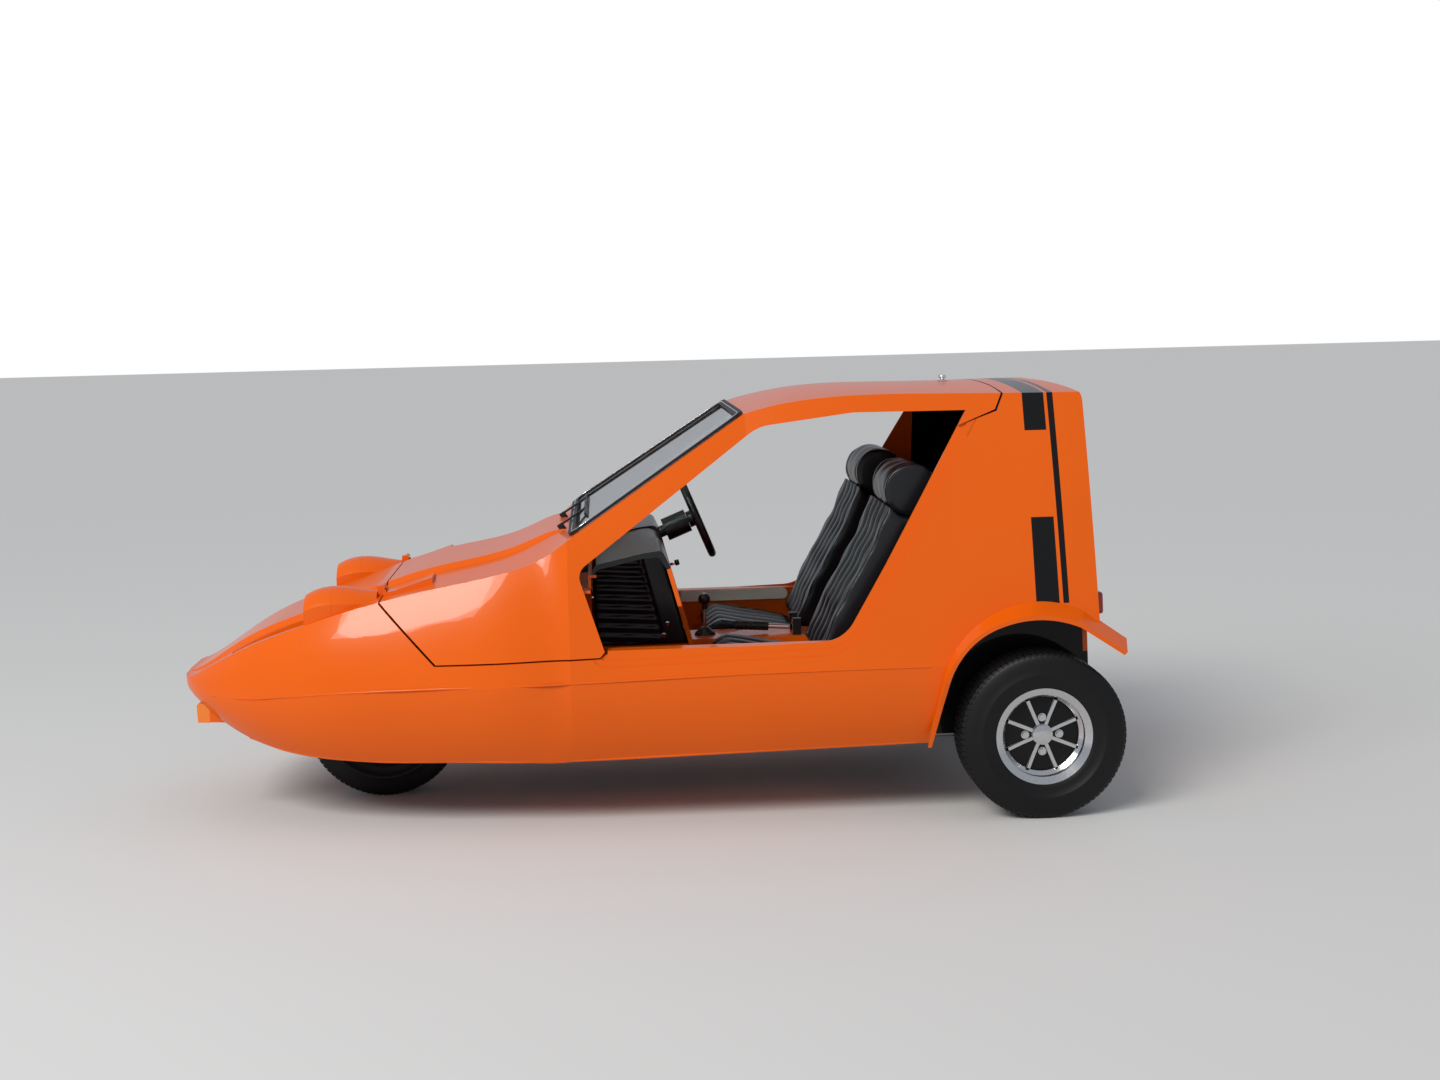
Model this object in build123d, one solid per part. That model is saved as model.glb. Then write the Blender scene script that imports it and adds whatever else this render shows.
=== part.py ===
from build123d import *
import math
import os

# A two-seat three-wheeled wedge car of the early 1970s, with one front wheel and a front-hinged canopy
# in place of doors. Everything is in millimetres. Stations run rearward from the nose tip, heights up
# from the ground, y towards the car's right-hand side, where the driver sits.

os.makedirs("parts", exist_ok=True)

# Overall layout
overall_length = 2790
overall_width = 1397
wheelbase = 1956
wheel_height = 243
front_axle_station = 583
rear_axle_station = front_axle_station + wheelbase
rear_track = 1200
seat_gap = 0.3
running_gap = 5

# Tyres, rims and hubs
tyre_radius = wheel_height
tyre_width = 165
tyre_tread_width = 122
tyre_wall = 13
bead_radius = 127
rim_width = 138
rim_lip_height = 14
rim_wall = 6
rim_well_depth = 14
rib_count = 8
rib_width = 9
rib_height = 10
disc_thickness = 10
hub_back = -14
hub_face = 32
hub_boss_radius = 34
spindle_reach = 26
spindle_radius = 15
spindle_clearance = 0.05
cap_radius = 29
cap_height = 16
nut_count = 4
nut_circle = 50
nut_radius = 10
nut_height = 12
nut_seat = 22
drum_radius = 92
drum_width = 34

# Body mouldings
skin = 14
side_bulge = 13
tuck_bulge = 16
plateau_half_width = 250
riser_run = 16
riser_height = 16
nose_rows = [
    # station, top, edge y, edge z, waist y, waist z, foot y, foot z, share of the centre riser
    (0, 431, 150, 426, 156, 412, 140, 394, 0.15),
    (40, 443, 232, 436, 252, 402, 226, 366, 0.3),
    (110, 486, 300, 475, 335, 388, 290, 318, 0.6),
    (220, 553, 374, 532, 420, 390, 360, 261, 0.9),
    (350, 606, 438, 586, 492, 404, 425, 226, 1.0),
    (560, 676, 492, 655, 565, 423, 495, 206, 1.0),
    (850, 757, 536, 722, 622, 435, 546, 203, 1.0),
    (1050, 808, 556, 768, 642, 438, 570, 200, 0.9),
    (1180, 843, 575, 843, 647, 441, 576, 200, 0),
]
screen_foot = (1180, 844)
screen_head = (1708, 1189)
cabin_rows = [
    # station, crown, edge y, edge z, waist y, waist z, foot y, foot z
    (screen_foot[0], screen_foot[1], 575, 843, 647, 441, 576, 200),
    (screen_head[0], screen_head[1], 462, 1188, 655, 454, 588, 212),
    (1830, 1231, 470, 1216, 655, 455, 590, 215),
    (2060, 1252, 482, 1234, 655, 456, 590, 219),
    (2350, 1250, 494, 1231, 655, 456, 590, 222),
    (2760, 1245, 505, 1226, 655, 456, 590, 226),
]
tail_top_station = 2690
tail_waist_station = 2712
tail_foot_height = 352
tail_corner_radius = 50

# Shut lines, as station and height
canopy_front_station = 630
canopy_front_height = 668
canopy_low_front = (792, 496)
canopy_low_rear = (1266, 508)
canopy_corner = (1282, 520)
canopy_tail_low = (2439, 1178)
canopy_tail_high = (2467, 1244)
hinge_height = 703
hinge_pin_radius = 4

# Side openings and their stepped surround, as station, height and corner radius
opening_rows = [
    (1282, 521, 0),
    (1207, 755, 40),
    (1745, 1150, 130),
    (2020, 1184, 60),
    (2350, 1183, 0),
    (2095, 748, 160),
    (1965, 537, 110),
    (1780, 532, 60),
]
surround_width = 38
surround_depth = 4
surround_steps = 2
under_lip = 62

# Floor, sills and inner panels
floor_height = 222
floor_thickness = 14
panel = 8
toe_station = 960
sill_inner = 578
sill_top = 531
engine_box_half = 178
engine_box_end = 1545
engine_box_top = 468
tunnel_half_top = 92
tunnel_half_foot = 118
tunnel_end = 1974
bulkhead_rows = [(1975, 236), (2038, 400), (2120, 600), (2262, 900)]
shelf_height = 606
board_rise = 3
luggage_board = (2190, 2640, 430)
foot_board = (1180, 1560, 230, 530)
plinth_top = 300
arch_inner = 470
arch_start = 2225

# Rear wheel flares
flare_root = 628
flare_crease = [(2205, 215), (2253, 450), (2356, 576), (2463, 624), (2563, 631), (2665, 603), (overall_length, 515)]
flare_mouth = [(2216, 215), (2262, 410), (2330, 522), (2416, 571), (2520, 588), (2640, 562), (2766, 478)]
flare_lip = 12
flare_limit = [(0, 180), (622, 180), (664, 342), (689, 413), (overall_width / 2, 474), (overall_width / 2, 700)]

# Headlamps and their pods
pod_offset = 372
pod_face_station = 406
pod_split_station = 487
pod_rows = [
    # station, half width, foot, top
    (pod_face_station, 74, 520, 686),
    (445, 78, 540, 703),
    (pod_split_station, 80, 556, 709),
    (550, 74, 580, 703),
    (616, 50, 610, 692),
]
lamp_height = 612
lamp_radius = 70
lamp_depth = 50
trough_front = (170, 286, 318)
trough_back = (pod_face_station, 306, 438)
trough_start_height = 501
trough_end_height = 536
fairing_start = 643
fairing_end = 782
fairing_half_width = 58
fairing_height = 704

# Chassis
rail_half_spacing = 215
rail_width = 50
rail_foot = 152
rail_rows = [(862, rail_foot), (2085, rail_foot), (2300, 400), (2665, 400)]
cross_stations = (905, 1560, 2060, 2395)
cross_foot = 190
tower_y = 318
cross_width = 46

# Engine and driveline
engine_start = 915
engine_end = 1236
engine_half = 150
engine_foot = 270
engine_top = 690
gearbox_radius = 88
gearbox_end = 1700
shaft_height = 300
propshaft_radius = 24
axle_tube_radius = 31
spring_foot = 288
spring_radius = 40
spring_wire = 9
spring_turns = 6
trailing_y = 300
diff_radius = 92
exhaust_radius = 17
silencer_radius = 46
tail_sleeve_radius = 19
tail_sleeve_length = 70
exhaust_y = -128
exhaust_height = 172

# Front suspension and steering
kingpin_y = 117
kingpin_radius = 10
knuckle_radius = 19
knuckle_half = 42
ear_thickness = 14
arm_pivot = (880, 292, 190)

# Cabin fittings
column_angle = 22
steering_wheel_centre = (1593, 300, 815)
steering_wheel_radius = 145
rim_grip_radius = 13
column_radius = 19
cowl_radius = 38
cowl_length = 82
dash_half = 545
cover_half = 170
pedal_places = (240, 320, 410)
seat_offset = 330
seat_half_width = 200
roll_radius = 80
roll_half_length = 150
roll_station = 2192
roll_height = 950
knob_station = 2368
knob_radius = 12.5
knob_top = 1270


def x_at(station):
    """The x of a station: the origin lies midway along the car."""
    return station - overall_length / 2


def closed_wire(station, corners):
    """A wire in a station plane; a third value on a corner bulges the side that follows it."""
    edges = []
    for (y1, z1, bulge), (y2, z2, _) in zip(corners, corners[1:] + corners[:1]):
        start, end = Vector(x_at(station), y1, z1), Vector(x_at(station), y2, z2)
        if bulge:
            length = math.hypot(y2 - y1, z2 - z1)
            middle = Vector(x_at(station), (y1 + y2) / 2 - bulge * (z2 - z1) / length,
                            (z1 + z2) / 2 + bulge * (y2 - y1) / length)
            edges.append(Edge.make_three_point_arc(start, middle, end))
        else:
            edges.append(Edge.make_line(start, end))
    return Wire(edges)


def drawn_in(corners, amount):
    """Moves every side of a clockwise outline inwards by the amount and meets them again."""
    moved = []
    count = len(corners)
    for i, (y, z, bulge) in enumerate(corners):
        before, after = corners[i - 1], corners[(i + 1) % count]
        in_y, in_z = y - before[0], z - before[1]
        out_y, out_z = after[0] - y, after[1] - z
        in_length, out_length = math.hypot(in_y, in_z), math.hypot(out_y, out_z)
        a = (y + in_z / in_length * amount, z - in_y / in_length * amount)
        b = (y + out_z / out_length * amount, z - out_y / out_length * amount)
        cross = in_y * out_z - in_z * out_y
        run = ((b[0] - a[0]) * out_z - (b[1] - a[1]) * out_y) / cross if abs(cross) > 1 else 0
        moved.append((a[0] + run * in_y, a[1] + run * in_z, bulge))
    return moved


def both_halves(right):
    """Adds the mirror image of a right-hand half outline, given from the top down."""
    count = len(right)
    left = [(-right[i][0], right[i][1], right[i - 1][2] if i else 0) for i in range(count - 1, -1, -1)]
    return right + left


def nose_outline(row):
    station, top, edge_y, edge_z, waist_y, waist_z, foot_y, foot_z, share = row
    flat = min(plateau_half_width, edge_y * 0.62)
    scale = min(1, waist_y / 500)
    return station, both_halves([
        (flat, top, 0),
        (flat + riser_run * max(share, 0.3), top - riser_height * share, 0),
        (edge_y, edge_z, side_bulge * scale),
        (waist_y, waist_z, tuck_bulge * scale),
        (foot_y, foot_z, 0),
    ])


def cabin_outline(row):
    station, crown, edge_y, edge_z, waist_y, waist_z, foot_y, foot_z = row
    corners = both_halves([
        (edge_y, edge_z, side_bulge),
        (waist_y, waist_z, tuck_bulge),
        (foot_y, foot_z, 0),
    ])
    corners[-1] = (corners[-1][0], corners[-1][1], crown - edge_z)
    return station, corners


def lofted(outlines, inset, ruled=False):
    return Solid.make_loft([closed_wire(s, drawn_in(c, inset) if inset else c) for s, c in outlines], ruled)


def side_face(rows):
    """A side-view face of (station, height, corner radius) rows, with tangent arcs at the corners."""
    corners = [Vector(x_at(r[0]), 0, r[1]) for r in rows]
    radii = [r[2] if len(r) > 2 else 0 for r in rows]
    ends = []
    for i, here in enumerate(corners):
        back = (corners[i - 1] - here).normalized()
        ahead = (corners[(i + 1) % len(corners)] - here).normalized()
        if radii[i]:
            half = math.radians(back.get_angle(ahead)) / 2
            run = radii[i] / math.tan(half)
            bisector = (back + ahead).normalized()
            middle = here + bisector * (radii[i] / math.sin(half) - radii[i])
            ends.append((here + back * run, middle, here + ahead * run))
        else:
            ends.append((here, None, here))
    edges = []
    for (first, middle, last), (following, _, _) in zip(ends, ends[1:] + ends[:1]):
        if middle is not None:
            edges.append(Edge.make_three_point_arc(first, middle, last))
        if (following - last).length > 0.01:
            edges.append(Edge.make_line(last, following))
    return Face(Wire(edges))


def across(rows, half_width=1000):
    """A side-view outline carried across the car to both sides of the centre line."""
    return extrude(side_face(rows), half_width, dir=(0, 1, 0), both=True)


def across_face(face):
    return extrude(face, 1000, dir=(0, 1, 0), both=True)


def slab(rows, y_from, y_to):
    """A side-view outline carried from one y to another."""
    return extrude(Pos(0, y_from, 0) * side_face(rows), y_to - y_from, dir=(0, 1, 0))


def block(s_from, s_to, y_from, y_to, z_from, z_to):
    centre = (x_at((s_from + s_to) / 2), (y_from + y_to) / 2, (z_from + z_to) / 2)
    return Pos(*centre) * Box(abs(s_to - s_from), abs(y_to - y_from), abs(z_to - z_from))


def rod(start, end, radius):
    start, end = Vector(*start), Vector(*end)
    plane = Plane(origin=(x_at(start.X), start.Y, start.Z), z_dir=end - start)
    return extrude(plane * Circle(radius), (end - start).length)


def ball(centre, radius):
    return Pos(x_at(centre[0]), centre[1], centre[2]) * Sphere(radius)


def plan_face(points):
    """A face in plan from (station, y) points."""
    return make_face(Polyline(*[(x_at(s), y) for s, y in points], close=True))


def sheet(rows, thickness, y_from, y_to):
    """A bent sheet whose upper face follows the rows; the thickness lies below and behind them."""
    under = []
    for i, (s, z) in enumerate(rows):
        a, b = rows[max(i - 1, 0)], rows[min(i + 1, len(rows) - 1)]
        first = math.atan2(z - a[1], s - a[0]) if i else math.atan2(b[1] - z, b[0] - s)
        second = math.atan2(b[1] - z, b[0] - s) if i < len(rows) - 1 else first
        middle = (first + second) / 2
        reach = thickness / math.cos((second - first) / 2)
        under.append((s + reach * math.sin(middle), z - reach * math.cos(middle)))
    return slab(list(rows) + under[::-1], y_from, y_to)


def mirrored(solid):
    return mirror(solid, Plane.XZ)


def pair(solid):
    return Compound(children=[solid, mirrored(solid)])


def save(node, shape):
    solids = shape.solids()
    export_step(solids[0] if len(solids) == 1 else Compound(children=list(solids)), f"parts/{node}.step")


# The outer form and the cavity inside it

def body_form(inset):
    front = nose_rows if inset < skin / 2 else nose_rows[2:]
    form = lofted([nose_outline(r) for r in front], inset)
    form += lofted([cabin_outline(r) for r in cabin_rows[:2]], inset, True)
    form += lofted([cabin_outline(r) for r in cabin_rows[1:]], inset)
    rake = (tail_waist_station - tail_top_station) / (1250 - 456)
    foot = tail_waist_station + rake * 456 - inset
    head = tail_top_station - inset
    return form & across([
        (-50, 0),
        (foot, 0),
        (head, 1250 - inset, tail_corner_radius - inset),
        (2300, 1256 - inset),
        (2300, 2000),
        (-50, 2000),
    ])


outer = body_form(0)
cavity = body_form(skin)
shell = outer - cavity
clear_of_form = body_form(-seat_gap)


def canopy_region(gap):
    """The part of the form that lifts with the canopy, drawn in by the gap at its shut lines."""
    lean = (canopy_low_front[0] - canopy_front_station) / (canopy_front_height - canopy_low_front[1])
    slant = gap * math.hypot(1, lean)
    return across([
        (canopy_front_station + gap, 2000),
        (canopy_front_station + gap, canopy_front_height + slant * 0.6),
        (canopy_low_front[0] + gap * 0.8, canopy_low_front[1] + gap),
        (canopy_low_rear[0], canopy_low_rear[1] + gap),
        (canopy_corner[0] - gap, canopy_corner[1] + gap),
        (1500, 760),
        (2300, 1130),
        (canopy_tail_low[0] - gap, canopy_tail_low[1] + gap),
        (canopy_tail_high[0] - gap, canopy_tail_high[1] + gap * 0.4),
        (canopy_tail_high[0] - gap, 2000),
    ])


def nose_panel_region(gap):
    """Everything above the join that follows the nose's upper crease, ahead of the canopy."""
    outlines = []
    for row in nose_rows:
        station, edge_y, edge_z = row[0], row[2] + gap, row[3] - gap
        outlines.append((station, both_halves([
            (edge_y + 60, edge_z + 260, 0),
            (edge_y + skin, edge_z + skin + 6, 0),
            (edge_y - skin, edge_z - skin - 6, 0),
        ])))
    return lofted(outlines, 0) & block(-60, canopy_front_station - 1 + gap, -900, 900, 0, 1200)


opening = across(opening_rows)

# The pods, their lamps and the troughs that let the lamps see the road

def pod_wire(row, side):
    station, half, foot, top = row
    y = side * pod_offset
    shoulder = top - half * 0.55
    station = x_at(station)
    low = [Vector(station, y - half, foot), Vector(station, y + half, foot)]
    high = [Vector(station, y + half, shoulder), Vector(station, y - half, shoulder)]
    return Wire([
        Edge.make_line(low[0], low[1]),
        Edge.make_line(low[1], high[0]),
        Edge.make_three_point_arc(high[0], Vector(station, y, top), high[1]),
        Edge.make_line(high[1], low[0]),
    ])


def pod(side):
    return Solid.make_loft([pod_wire(r, side) for r in pod_rows])


def trough(side, grow):
    low = across([
        (trough_front[0] - grow * 2, 800),
        (trough_front[0] - grow * 2, trough_start_height - grow),
        (pod_face_station, trough_end_height - grow),
        (pod_face_station, 800),
    ])
    plan = plan_face([
        (trough_front[0] - grow * 2, side * (trough_front[1] - grow)),
        (trough_front[0] - grow * 2, side * (trough_front[2] + grow)),
        (trough_back[0], side * (trough_back[2] + grow)),
        (trough_back[0], side * (trough_back[1] - grow)),
    ])
    return low & extrude(plan, 900, dir=(0, 0, 1))


pods = [pod(1), pod(-1)]
panel_region = nose_panel_region(0)
hood_range = block(pod_face_station - 1, pod_split_station - seat_gap, -700, 700, 400, 800)
tail_range = block(pod_split_station, 700, -700, 700, 400, 800)

nose_panel = shell & panel_region
for side in (1, -1):
    nose_panel += trough(side, panel) & cavity
lamp_hoods = []
for side, one in zip((1, -1), pods):
    nose_panel -= trough(side, 0)
    nose_panel -= one & hood_range
    nose_panel += (one & tail_range & panel_region) - cavity
    pocket = rod((pod_face_station - 5, side * pod_offset, lamp_height),
                 (pod_face_station + lamp_depth + 4, side * pod_offset, lamp_height), lamp_radius + 0.5)
    lamp_hoods.append((one & hood_range) - pocket)
save("nose_panel", nose_panel)

# The canopy: bonnet, upper wings, windscreen frame and roof

canopy = (shell & canopy_region(running_gap)) - opening
screen_run = Vector(screen_head[0] - screen_foot[0], 0, screen_head[1] - screen_foot[1])
screen_length = screen_run.length
screen_plane = Plane(origin=(x_at(screen_foot[0]), 0, screen_foot[1]), x_dir=(0, -1, 0),
                     z_dir=screen_run.cross(Vector(0, 1, 0)))


def screen_outline(grow):
    low, high = 22 - grow, screen_length - 14 + grow
    outline = Polyline((-535 - grow, low), (535 + grow, low), (425 + grow, high), (-425 - grow, high), close=True)
    made = make_face(outline)
    return fillet(made.vertices(), 34 + grow)


screen_hole = extrude(screen_plane * screen_outline(0), 60, both=True)
canopy -= screen_hole
wedge = slab([
    (fairing_start, 640),
    (fairing_start, fairing_height - 12, 5),
    (fairing_start + 30, fairing_height - 6),
    (fairing_end, fairing_height + 30, 4),
    (fairing_end, 690),
], pod_offset - fairing_half_width, pod_offset + fairing_half_width) - cavity
canopy += wedge
canopy += mirrored(wedge)
save("canopy_shell", canopy)

hinge_at = (canopy_front_station + running_gap / 2 - 0.5, hinge_height)
held = rod((hinge_at[0], pod_offset - 12, hinge_height), (hinge_at[0], pod_offset + 12, hinge_height), 8)
held += block(pod_rows[-1][0] + seat_gap, hinge_at[0], pod_offset - 12, pod_offset + 12, 670, hinge_height + 4)
held -= rod((hinge_at[0], 0, hinge_height), (hinge_at[0], 700, hinge_height), hinge_pin_radius + spindle_clearance)
hinge_ground = clear_of_form & block(600, 680, pod_offset - 60, pod_offset + 60, 600, 760)
held -= hinge_ground
save("hinge_brackets", pair(held))
swung = rod((hinge_at[0], pod_offset - 27, hinge_height), (hinge_at[0], pod_offset + 27, hinge_height), hinge_pin_radius)
for low in (pod_offset - 27, pod_offset + 13):
    leaf = rod((hinge_at[0], low, hinge_height), (hinge_at[0], low + 14, hinge_height), 8)
    leaf += block(hinge_at[0], fairing_start - seat_gap, low, low + 14, 670, hinge_height - 6)
    swung += leaf - hinge_ground
save("hinge_leaves", pair(swung))

glass_thickness = 6
seal_width = 24
seal_height = 8
glass = extrude(screen_plane * Pos(0, 0, -glass_thickness - 1) * screen_outline(-1), glass_thickness)
save("windscreen", glass)
seal = extrude(screen_plane * Pos(0, 0, 2 * seat_gap) * (screen_outline(seal_width / 2) - screen_outline(-seal_width / 2)),
               seal_height)
save("windscreen_seal", seal)

# The tub: flanks, sills, floor, bulkhead and rear quarters

waist_split = 456
tub_shell = shell - canopy_region(0) - nose_panel_region(seat_gap) - opening
for step in range(surround_steps):
    reach = surround_width * (surround_steps - step) / surround_steps
    tub_shell -= across_face(offset(side_face(opening_rows), reach)) - body_form(surround_depth * (step + 1))
underside = [(r[0], r[6] - under_lip) for r in nose_rows if 100 < r[0] < 900] + [(toe_station - 30, 480)]
well = extrude(plan_face(underside + [(s, -y) for s, y in underside[::-1]]), 300)
mouth = across(flare_mouth + [(overall_length, 478), (overall_length, 180), (2216, 180)])
underfloor = [(r[0], r[6] - under_lip) for r in nose_rows + cabin_rows[1:] if toe_station - 200 < r[0] < 2400]
underfloor = plan_face(underfloor + [(s, -y) for s, y in underfloor[::-1]])
rear_zone = block(1880, 2800, -900, 900, waist_split, 1400)
tail_shell = tub_shell & rear_zone
tub = tub_shell - rear_zone - well - extrude(underfloor, floor_height)
arch_cut = block(2150, 2800, arch_inner + panel, 900, 100, 700) & mouth
for cut in (arch_cut, mirrored(arch_cut)):
    tail_shell -= cut
    tub -= cut
tub -= block(2045, 2250, -arch_inner, arch_inner, 100, floor_height + floor_thickness)
tub -= block(2200, 2800, -arch_inner, arch_inner, 100, tail_foot_height)

just_inside = body_form(skin / 2)
fill_reach = overall_width / 2
fill = block(toe_station, 2000, -fill_reach, fill_reach, floor_height, floor_height + floor_thickness)
for y_sign in (1, -1):
    sill_rows = [(1288, floor_height), (1288, sill_top), (1990, sill_top), (1960, floor_height)]
    fill += slab(sill_rows, y_sign * sill_inner, y_sign * fill_reach)
    wall_rows = [(arch_start, 236), (arch_start, 604), (2706, 604), (2700, 236)]
    fill += slab(wall_rows, y_sign * arch_inner, y_sign * (arch_inner + panel))
fill += sheet(bulkhead_rows, panel, -fill_reach, fill_reach)
fill += block(bulkhead_rows[2][0] + panel, 2706, -fill_reach, fill_reach, shelf_height - panel, shelf_height)
for y in (-seat_offset, seat_offset):
    fill += block(1650, 1985, y - seat_half_width + 4, y + seat_half_width - 4, floor_height, plinth_top)
fill += block(luggage_board[0], luggage_board[1], -luggage_board[2], luggage_board[2],
              shelf_height - panel, shelf_height + board_rise)
board = block(*foot_board, floor_height, floor_height + floor_thickness + board_rise)
fill += board + mirrored(board)
floor_top = floor_height + floor_thickness
box_in = engine_box_half - panel
tub += (fill & just_inside) - tail_shell
tub -= block(toe_station - 5, engine_box_end - panel, -box_in, box_in, 200, floor_top + 1)
tub -= block(engine_box_end - panel - 1, 2030, panel - tunnel_half_foot, tunnel_half_foot - panel, 200, floor_top)
tub -= rod((1900, 0, shaft_height - 14), (2100, 0, shaft_height - 28), propshaft_radius + 22)
for y_sign in (1, -1):
    tub -= rod((rear_axle_station, y_sign * (arch_inner - 20), wheel_height),
               (rear_axle_station, y_sign * (arch_inner + 30), wheel_height), axle_tube_radius + 45)

# Chin plinths that carry the front indicators, moulded with the tub

chin = slab([(88, 296), (88, 360), (240, 360), (170, 292)], 212, 278) - cavity
tub += (chin & block(0, 400, 0, 400, 0, 380)) - panel_region
tub += mirrored((chin & block(0, 400, 0, 400, 0, 380)) - panel_region)
indicator = slab([(52, 296), (50, 352, 6), (88 - seat_gap, 352), (88 - seat_gap, 294)], 214, 276) - clear_of_form
save("front_indicators", pair(indicator.solids().sort_by(SortBy.VOLUME)[-1]))
strip_block = block(2, 40, -130, 130, 372, 392) - clear_of_form
save("nose_strip", strip_block.solids().sort_by(SortBy.VOLUME)[-1])
save("lamp_hoods", Compound(children=[(h - tub).solids().sort_by(SortBy.VOLUME)[-1] for h in lamp_hoods]))
save("body_tub", tub)

# Rear wheel flares

def flare_outline(points, y):
    """A closed wire at one y, from a crease or lip line given front to back and the mouth line back."""
    first = [Vector(x_at(s), y, z) for s, z in points]
    last = [Vector(x_at(s), y, z) for s, z in flare_mouth][::-1]
    return Wire([
        Edge.make_line(first[0], first[1]),
        Edge.make_three_point_arc(first[1], first[2], first[3]),
        Edge.make_three_point_arc(first[3], first[4], first[5]),
        Edge.make_line(first[5], first[6]),
        Edge.make_line(first[6], last[0]),
        Edge.make_line(last[0], last[1]),
        Edge.make_three_point_arc(last[1], last[2], last[3]),
        Edge.make_three_point_arc(last[3], last[4], last[5]),
        Edge.make_line(last[5], last[6]),
        Edge.make_line(last[6], first[0]),
    ])


def lip_points():
    centre = (rear_axle_station, wheel_height)
    made = []
    for s, z in flare_mouth:
        away = math.hypot(s - centre[0], z - centre[1])
        made.append((s + (s - centre[0]) / away * flare_lip, z + (z - centre[1]) / away * flare_lip))
    return made


flare = Solid.make_loft([flare_outline(flare_crease, flare_root), flare_outline(lip_points(), overall_width / 2)], True)
flare &= extrude(
    Plane.YZ * make_face(Polyline(*flare_limit, close=True)), 1600, both=True)
flare -= clear_of_form
save("rear_flares", pair(flare))

# Front of the cabin: engine box, tunnel, footwell fronts and scuttle in one moulding

step_station = 1244
scuttle_height = 700
moulding = slab([(toe_station, floor_top), (toe_station, scuttle_height), (step_station, scuttle_height),
                 (step_station, engine_box_top), (engine_box_end, engine_box_top), (engine_box_end, floor_top)],
                -engine_box_half, engine_box_half)
moulding -= slab([(toe_station - 1, 200), (toe_station - 1, 800), (step_station - panel, 800),
                  (step_station - panel, engine_box_top - panel), (engine_box_end - panel, engine_box_top - panel),
                  (engine_box_end - panel, 200)], -box_in, box_in)
footwell = block(toe_station, toe_station + panel, -640, 640, floor_top, scuttle_height)
footwell += block(toe_station, step_station, -640, 640, scuttle_height - panel, scuttle_height)
footwell -= block(900, 1400, -box_in, box_in, 200, 900)
moulding += footwell & body_form(skin + running_gap + 1)
tunnel_corners = [(-tunnel_half_foot, floor_top), (-tunnel_half_top, engine_box_top),
                  (tunnel_half_top, engine_box_top), (tunnel_half_foot, floor_top)]
tunnel = Pos(x_at(engine_box_end - panel), 0, 0) * extrude(
    Plane.YZ * make_face(Polyline(*tunnel_corners, close=True)), tunnel_end - engine_box_end)
hollow = [(y - math.copysign(panel, y), z - panel if z > floor_top else z - 60) for y, z in tunnel_corners]
tunnel -= Pos(x_at(engine_box_end - 2 * panel), 0, 0) * extrude(Plane.YZ * make_face(Polyline(*hollow, close=True)), 900)
moulding += tunnel
moulding -= block(engine_box_end - 2 * panel, engine_box_end + 1, -tunnel_half_top + panel, tunnel_half_top - panel,
                  200, engine_box_top - panel)

# Engine cover, dash and its padded top

cover_rows = [
    (1250, engine_box_top + seat_gap, 12),
    (1248, 757, 26),
    (1398, 794, 60),
    (1456, 800, 34),
    (1536, engine_box_top + seat_gap, 10),
]
save("engine_cover", slab(cover_rows, -cover_half, cover_half))
column_direction = Vector(math.cos(math.radians(column_angle)), 0, math.sin(math.radians(column_angle)))
wheel_centre = Vector(*steering_wheel_centre)
toe_run = (wheel_centre.X - toe_station - panel - seat_gap - column_radius * 0.4) / column_direction.X
column_foot = wheel_centre - column_direction * toe_run
column_hole = rod(column_foot, wheel_centre, column_radius + 1)
carrier = slab([(step_station - 6, scuttle_height), (step_station - 6, 739), (1262, 739), (1262, 731),
                (step_station + 2, 731), (step_station + 2, scuttle_height)], cover_half + 8, dash_half)
moulding += carrier + mirrored(carrier)
moulding -= column_hole
save("cabin_moulding", moulding)
pad_rows = [(1250, 752), (1262, 768), (1400, 798), (1454, 804, 18), (1478, 752), (1466, 748),
            (1444, 784, 10), (1398, 782), (1268, 754), (1254, 740)]
left_pad = slab(pad_rows, -dash_half, -cover_half - seat_gap)
right_pad = slab(pad_rows, cover_half + seat_gap, dash_half) - column_hole
save("dash_pad", Compound(children=[*left_pad.solids(), *right_pad.solids()]))
fascia_low = 640
fascia = slab([(1466, 747.7), (1478, 751.7), (1507, fascia_low), (1495, fascia_low)], -dash_half, dash_half)
console_half = cover_half + 14
fascia += slab([(1466, 747.7), (1478, 751.7), (1551, 480), (1551, engine_box_top + seat_gap),
                (1539, engine_box_top + seat_gap)], -console_half, console_half)
fascia = fascia - slab(cover_rows, -cover_half - seat_gap, cover_half + seat_gap) - column_hole
fascia -= slab([(s + seat_gap, z) for s, z, *_ in cover_rows], -cover_half, cover_half)
save("fascia", fascia)

# Chassis: a ladder of box rails that climbs over the rear axle

upper = [(rail_rows[3][0], rail_rows[3][1] + 55), (rail_rows[2][0] - 22, rail_rows[2][1] + 55),
         (rail_rows[1][0] - 30, floor_height - seat_gap), (rail_rows[0][0], floor_height - seat_gap)]
rail = slab(rail_rows + upper, rail_half_spacing - rail_width / 2, rail_half_spacing + rail_width / 2)
rails = rail + mirrored(rail)
inner = rail_half_spacing - rail_width / 2
members = [block(station, station + cross_width, -inner, inner, cross_foot, floor_height - seat_gap)
           for station in cross_stations[1:3]]
members.append(block(cross_stations[3], cross_stations[3] + cross_width, -inner, inner,
                     rail_rows[3][1] + 8, rail_rows[3][1] + 47))
pivot = Vector(*arm_pivot)
front = block(cross_stations[0], cross_stations[0] + cross_width, -inner, inner, cross_foot, floor_height - seat_gap)
front += block(cross_stations[0], cross_stations[0] + cross_width, inner, pivot.Y + 38,
               cross_foot - 22, floor_height - seat_gap)
for y in (pivot.Y - 32, pivot.Y + 24):
    front += block(pivot.X - 22, cross_stations[0] + 4, y, y + 8, pivot.Z - 24, pivot.Z + 22)
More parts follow.
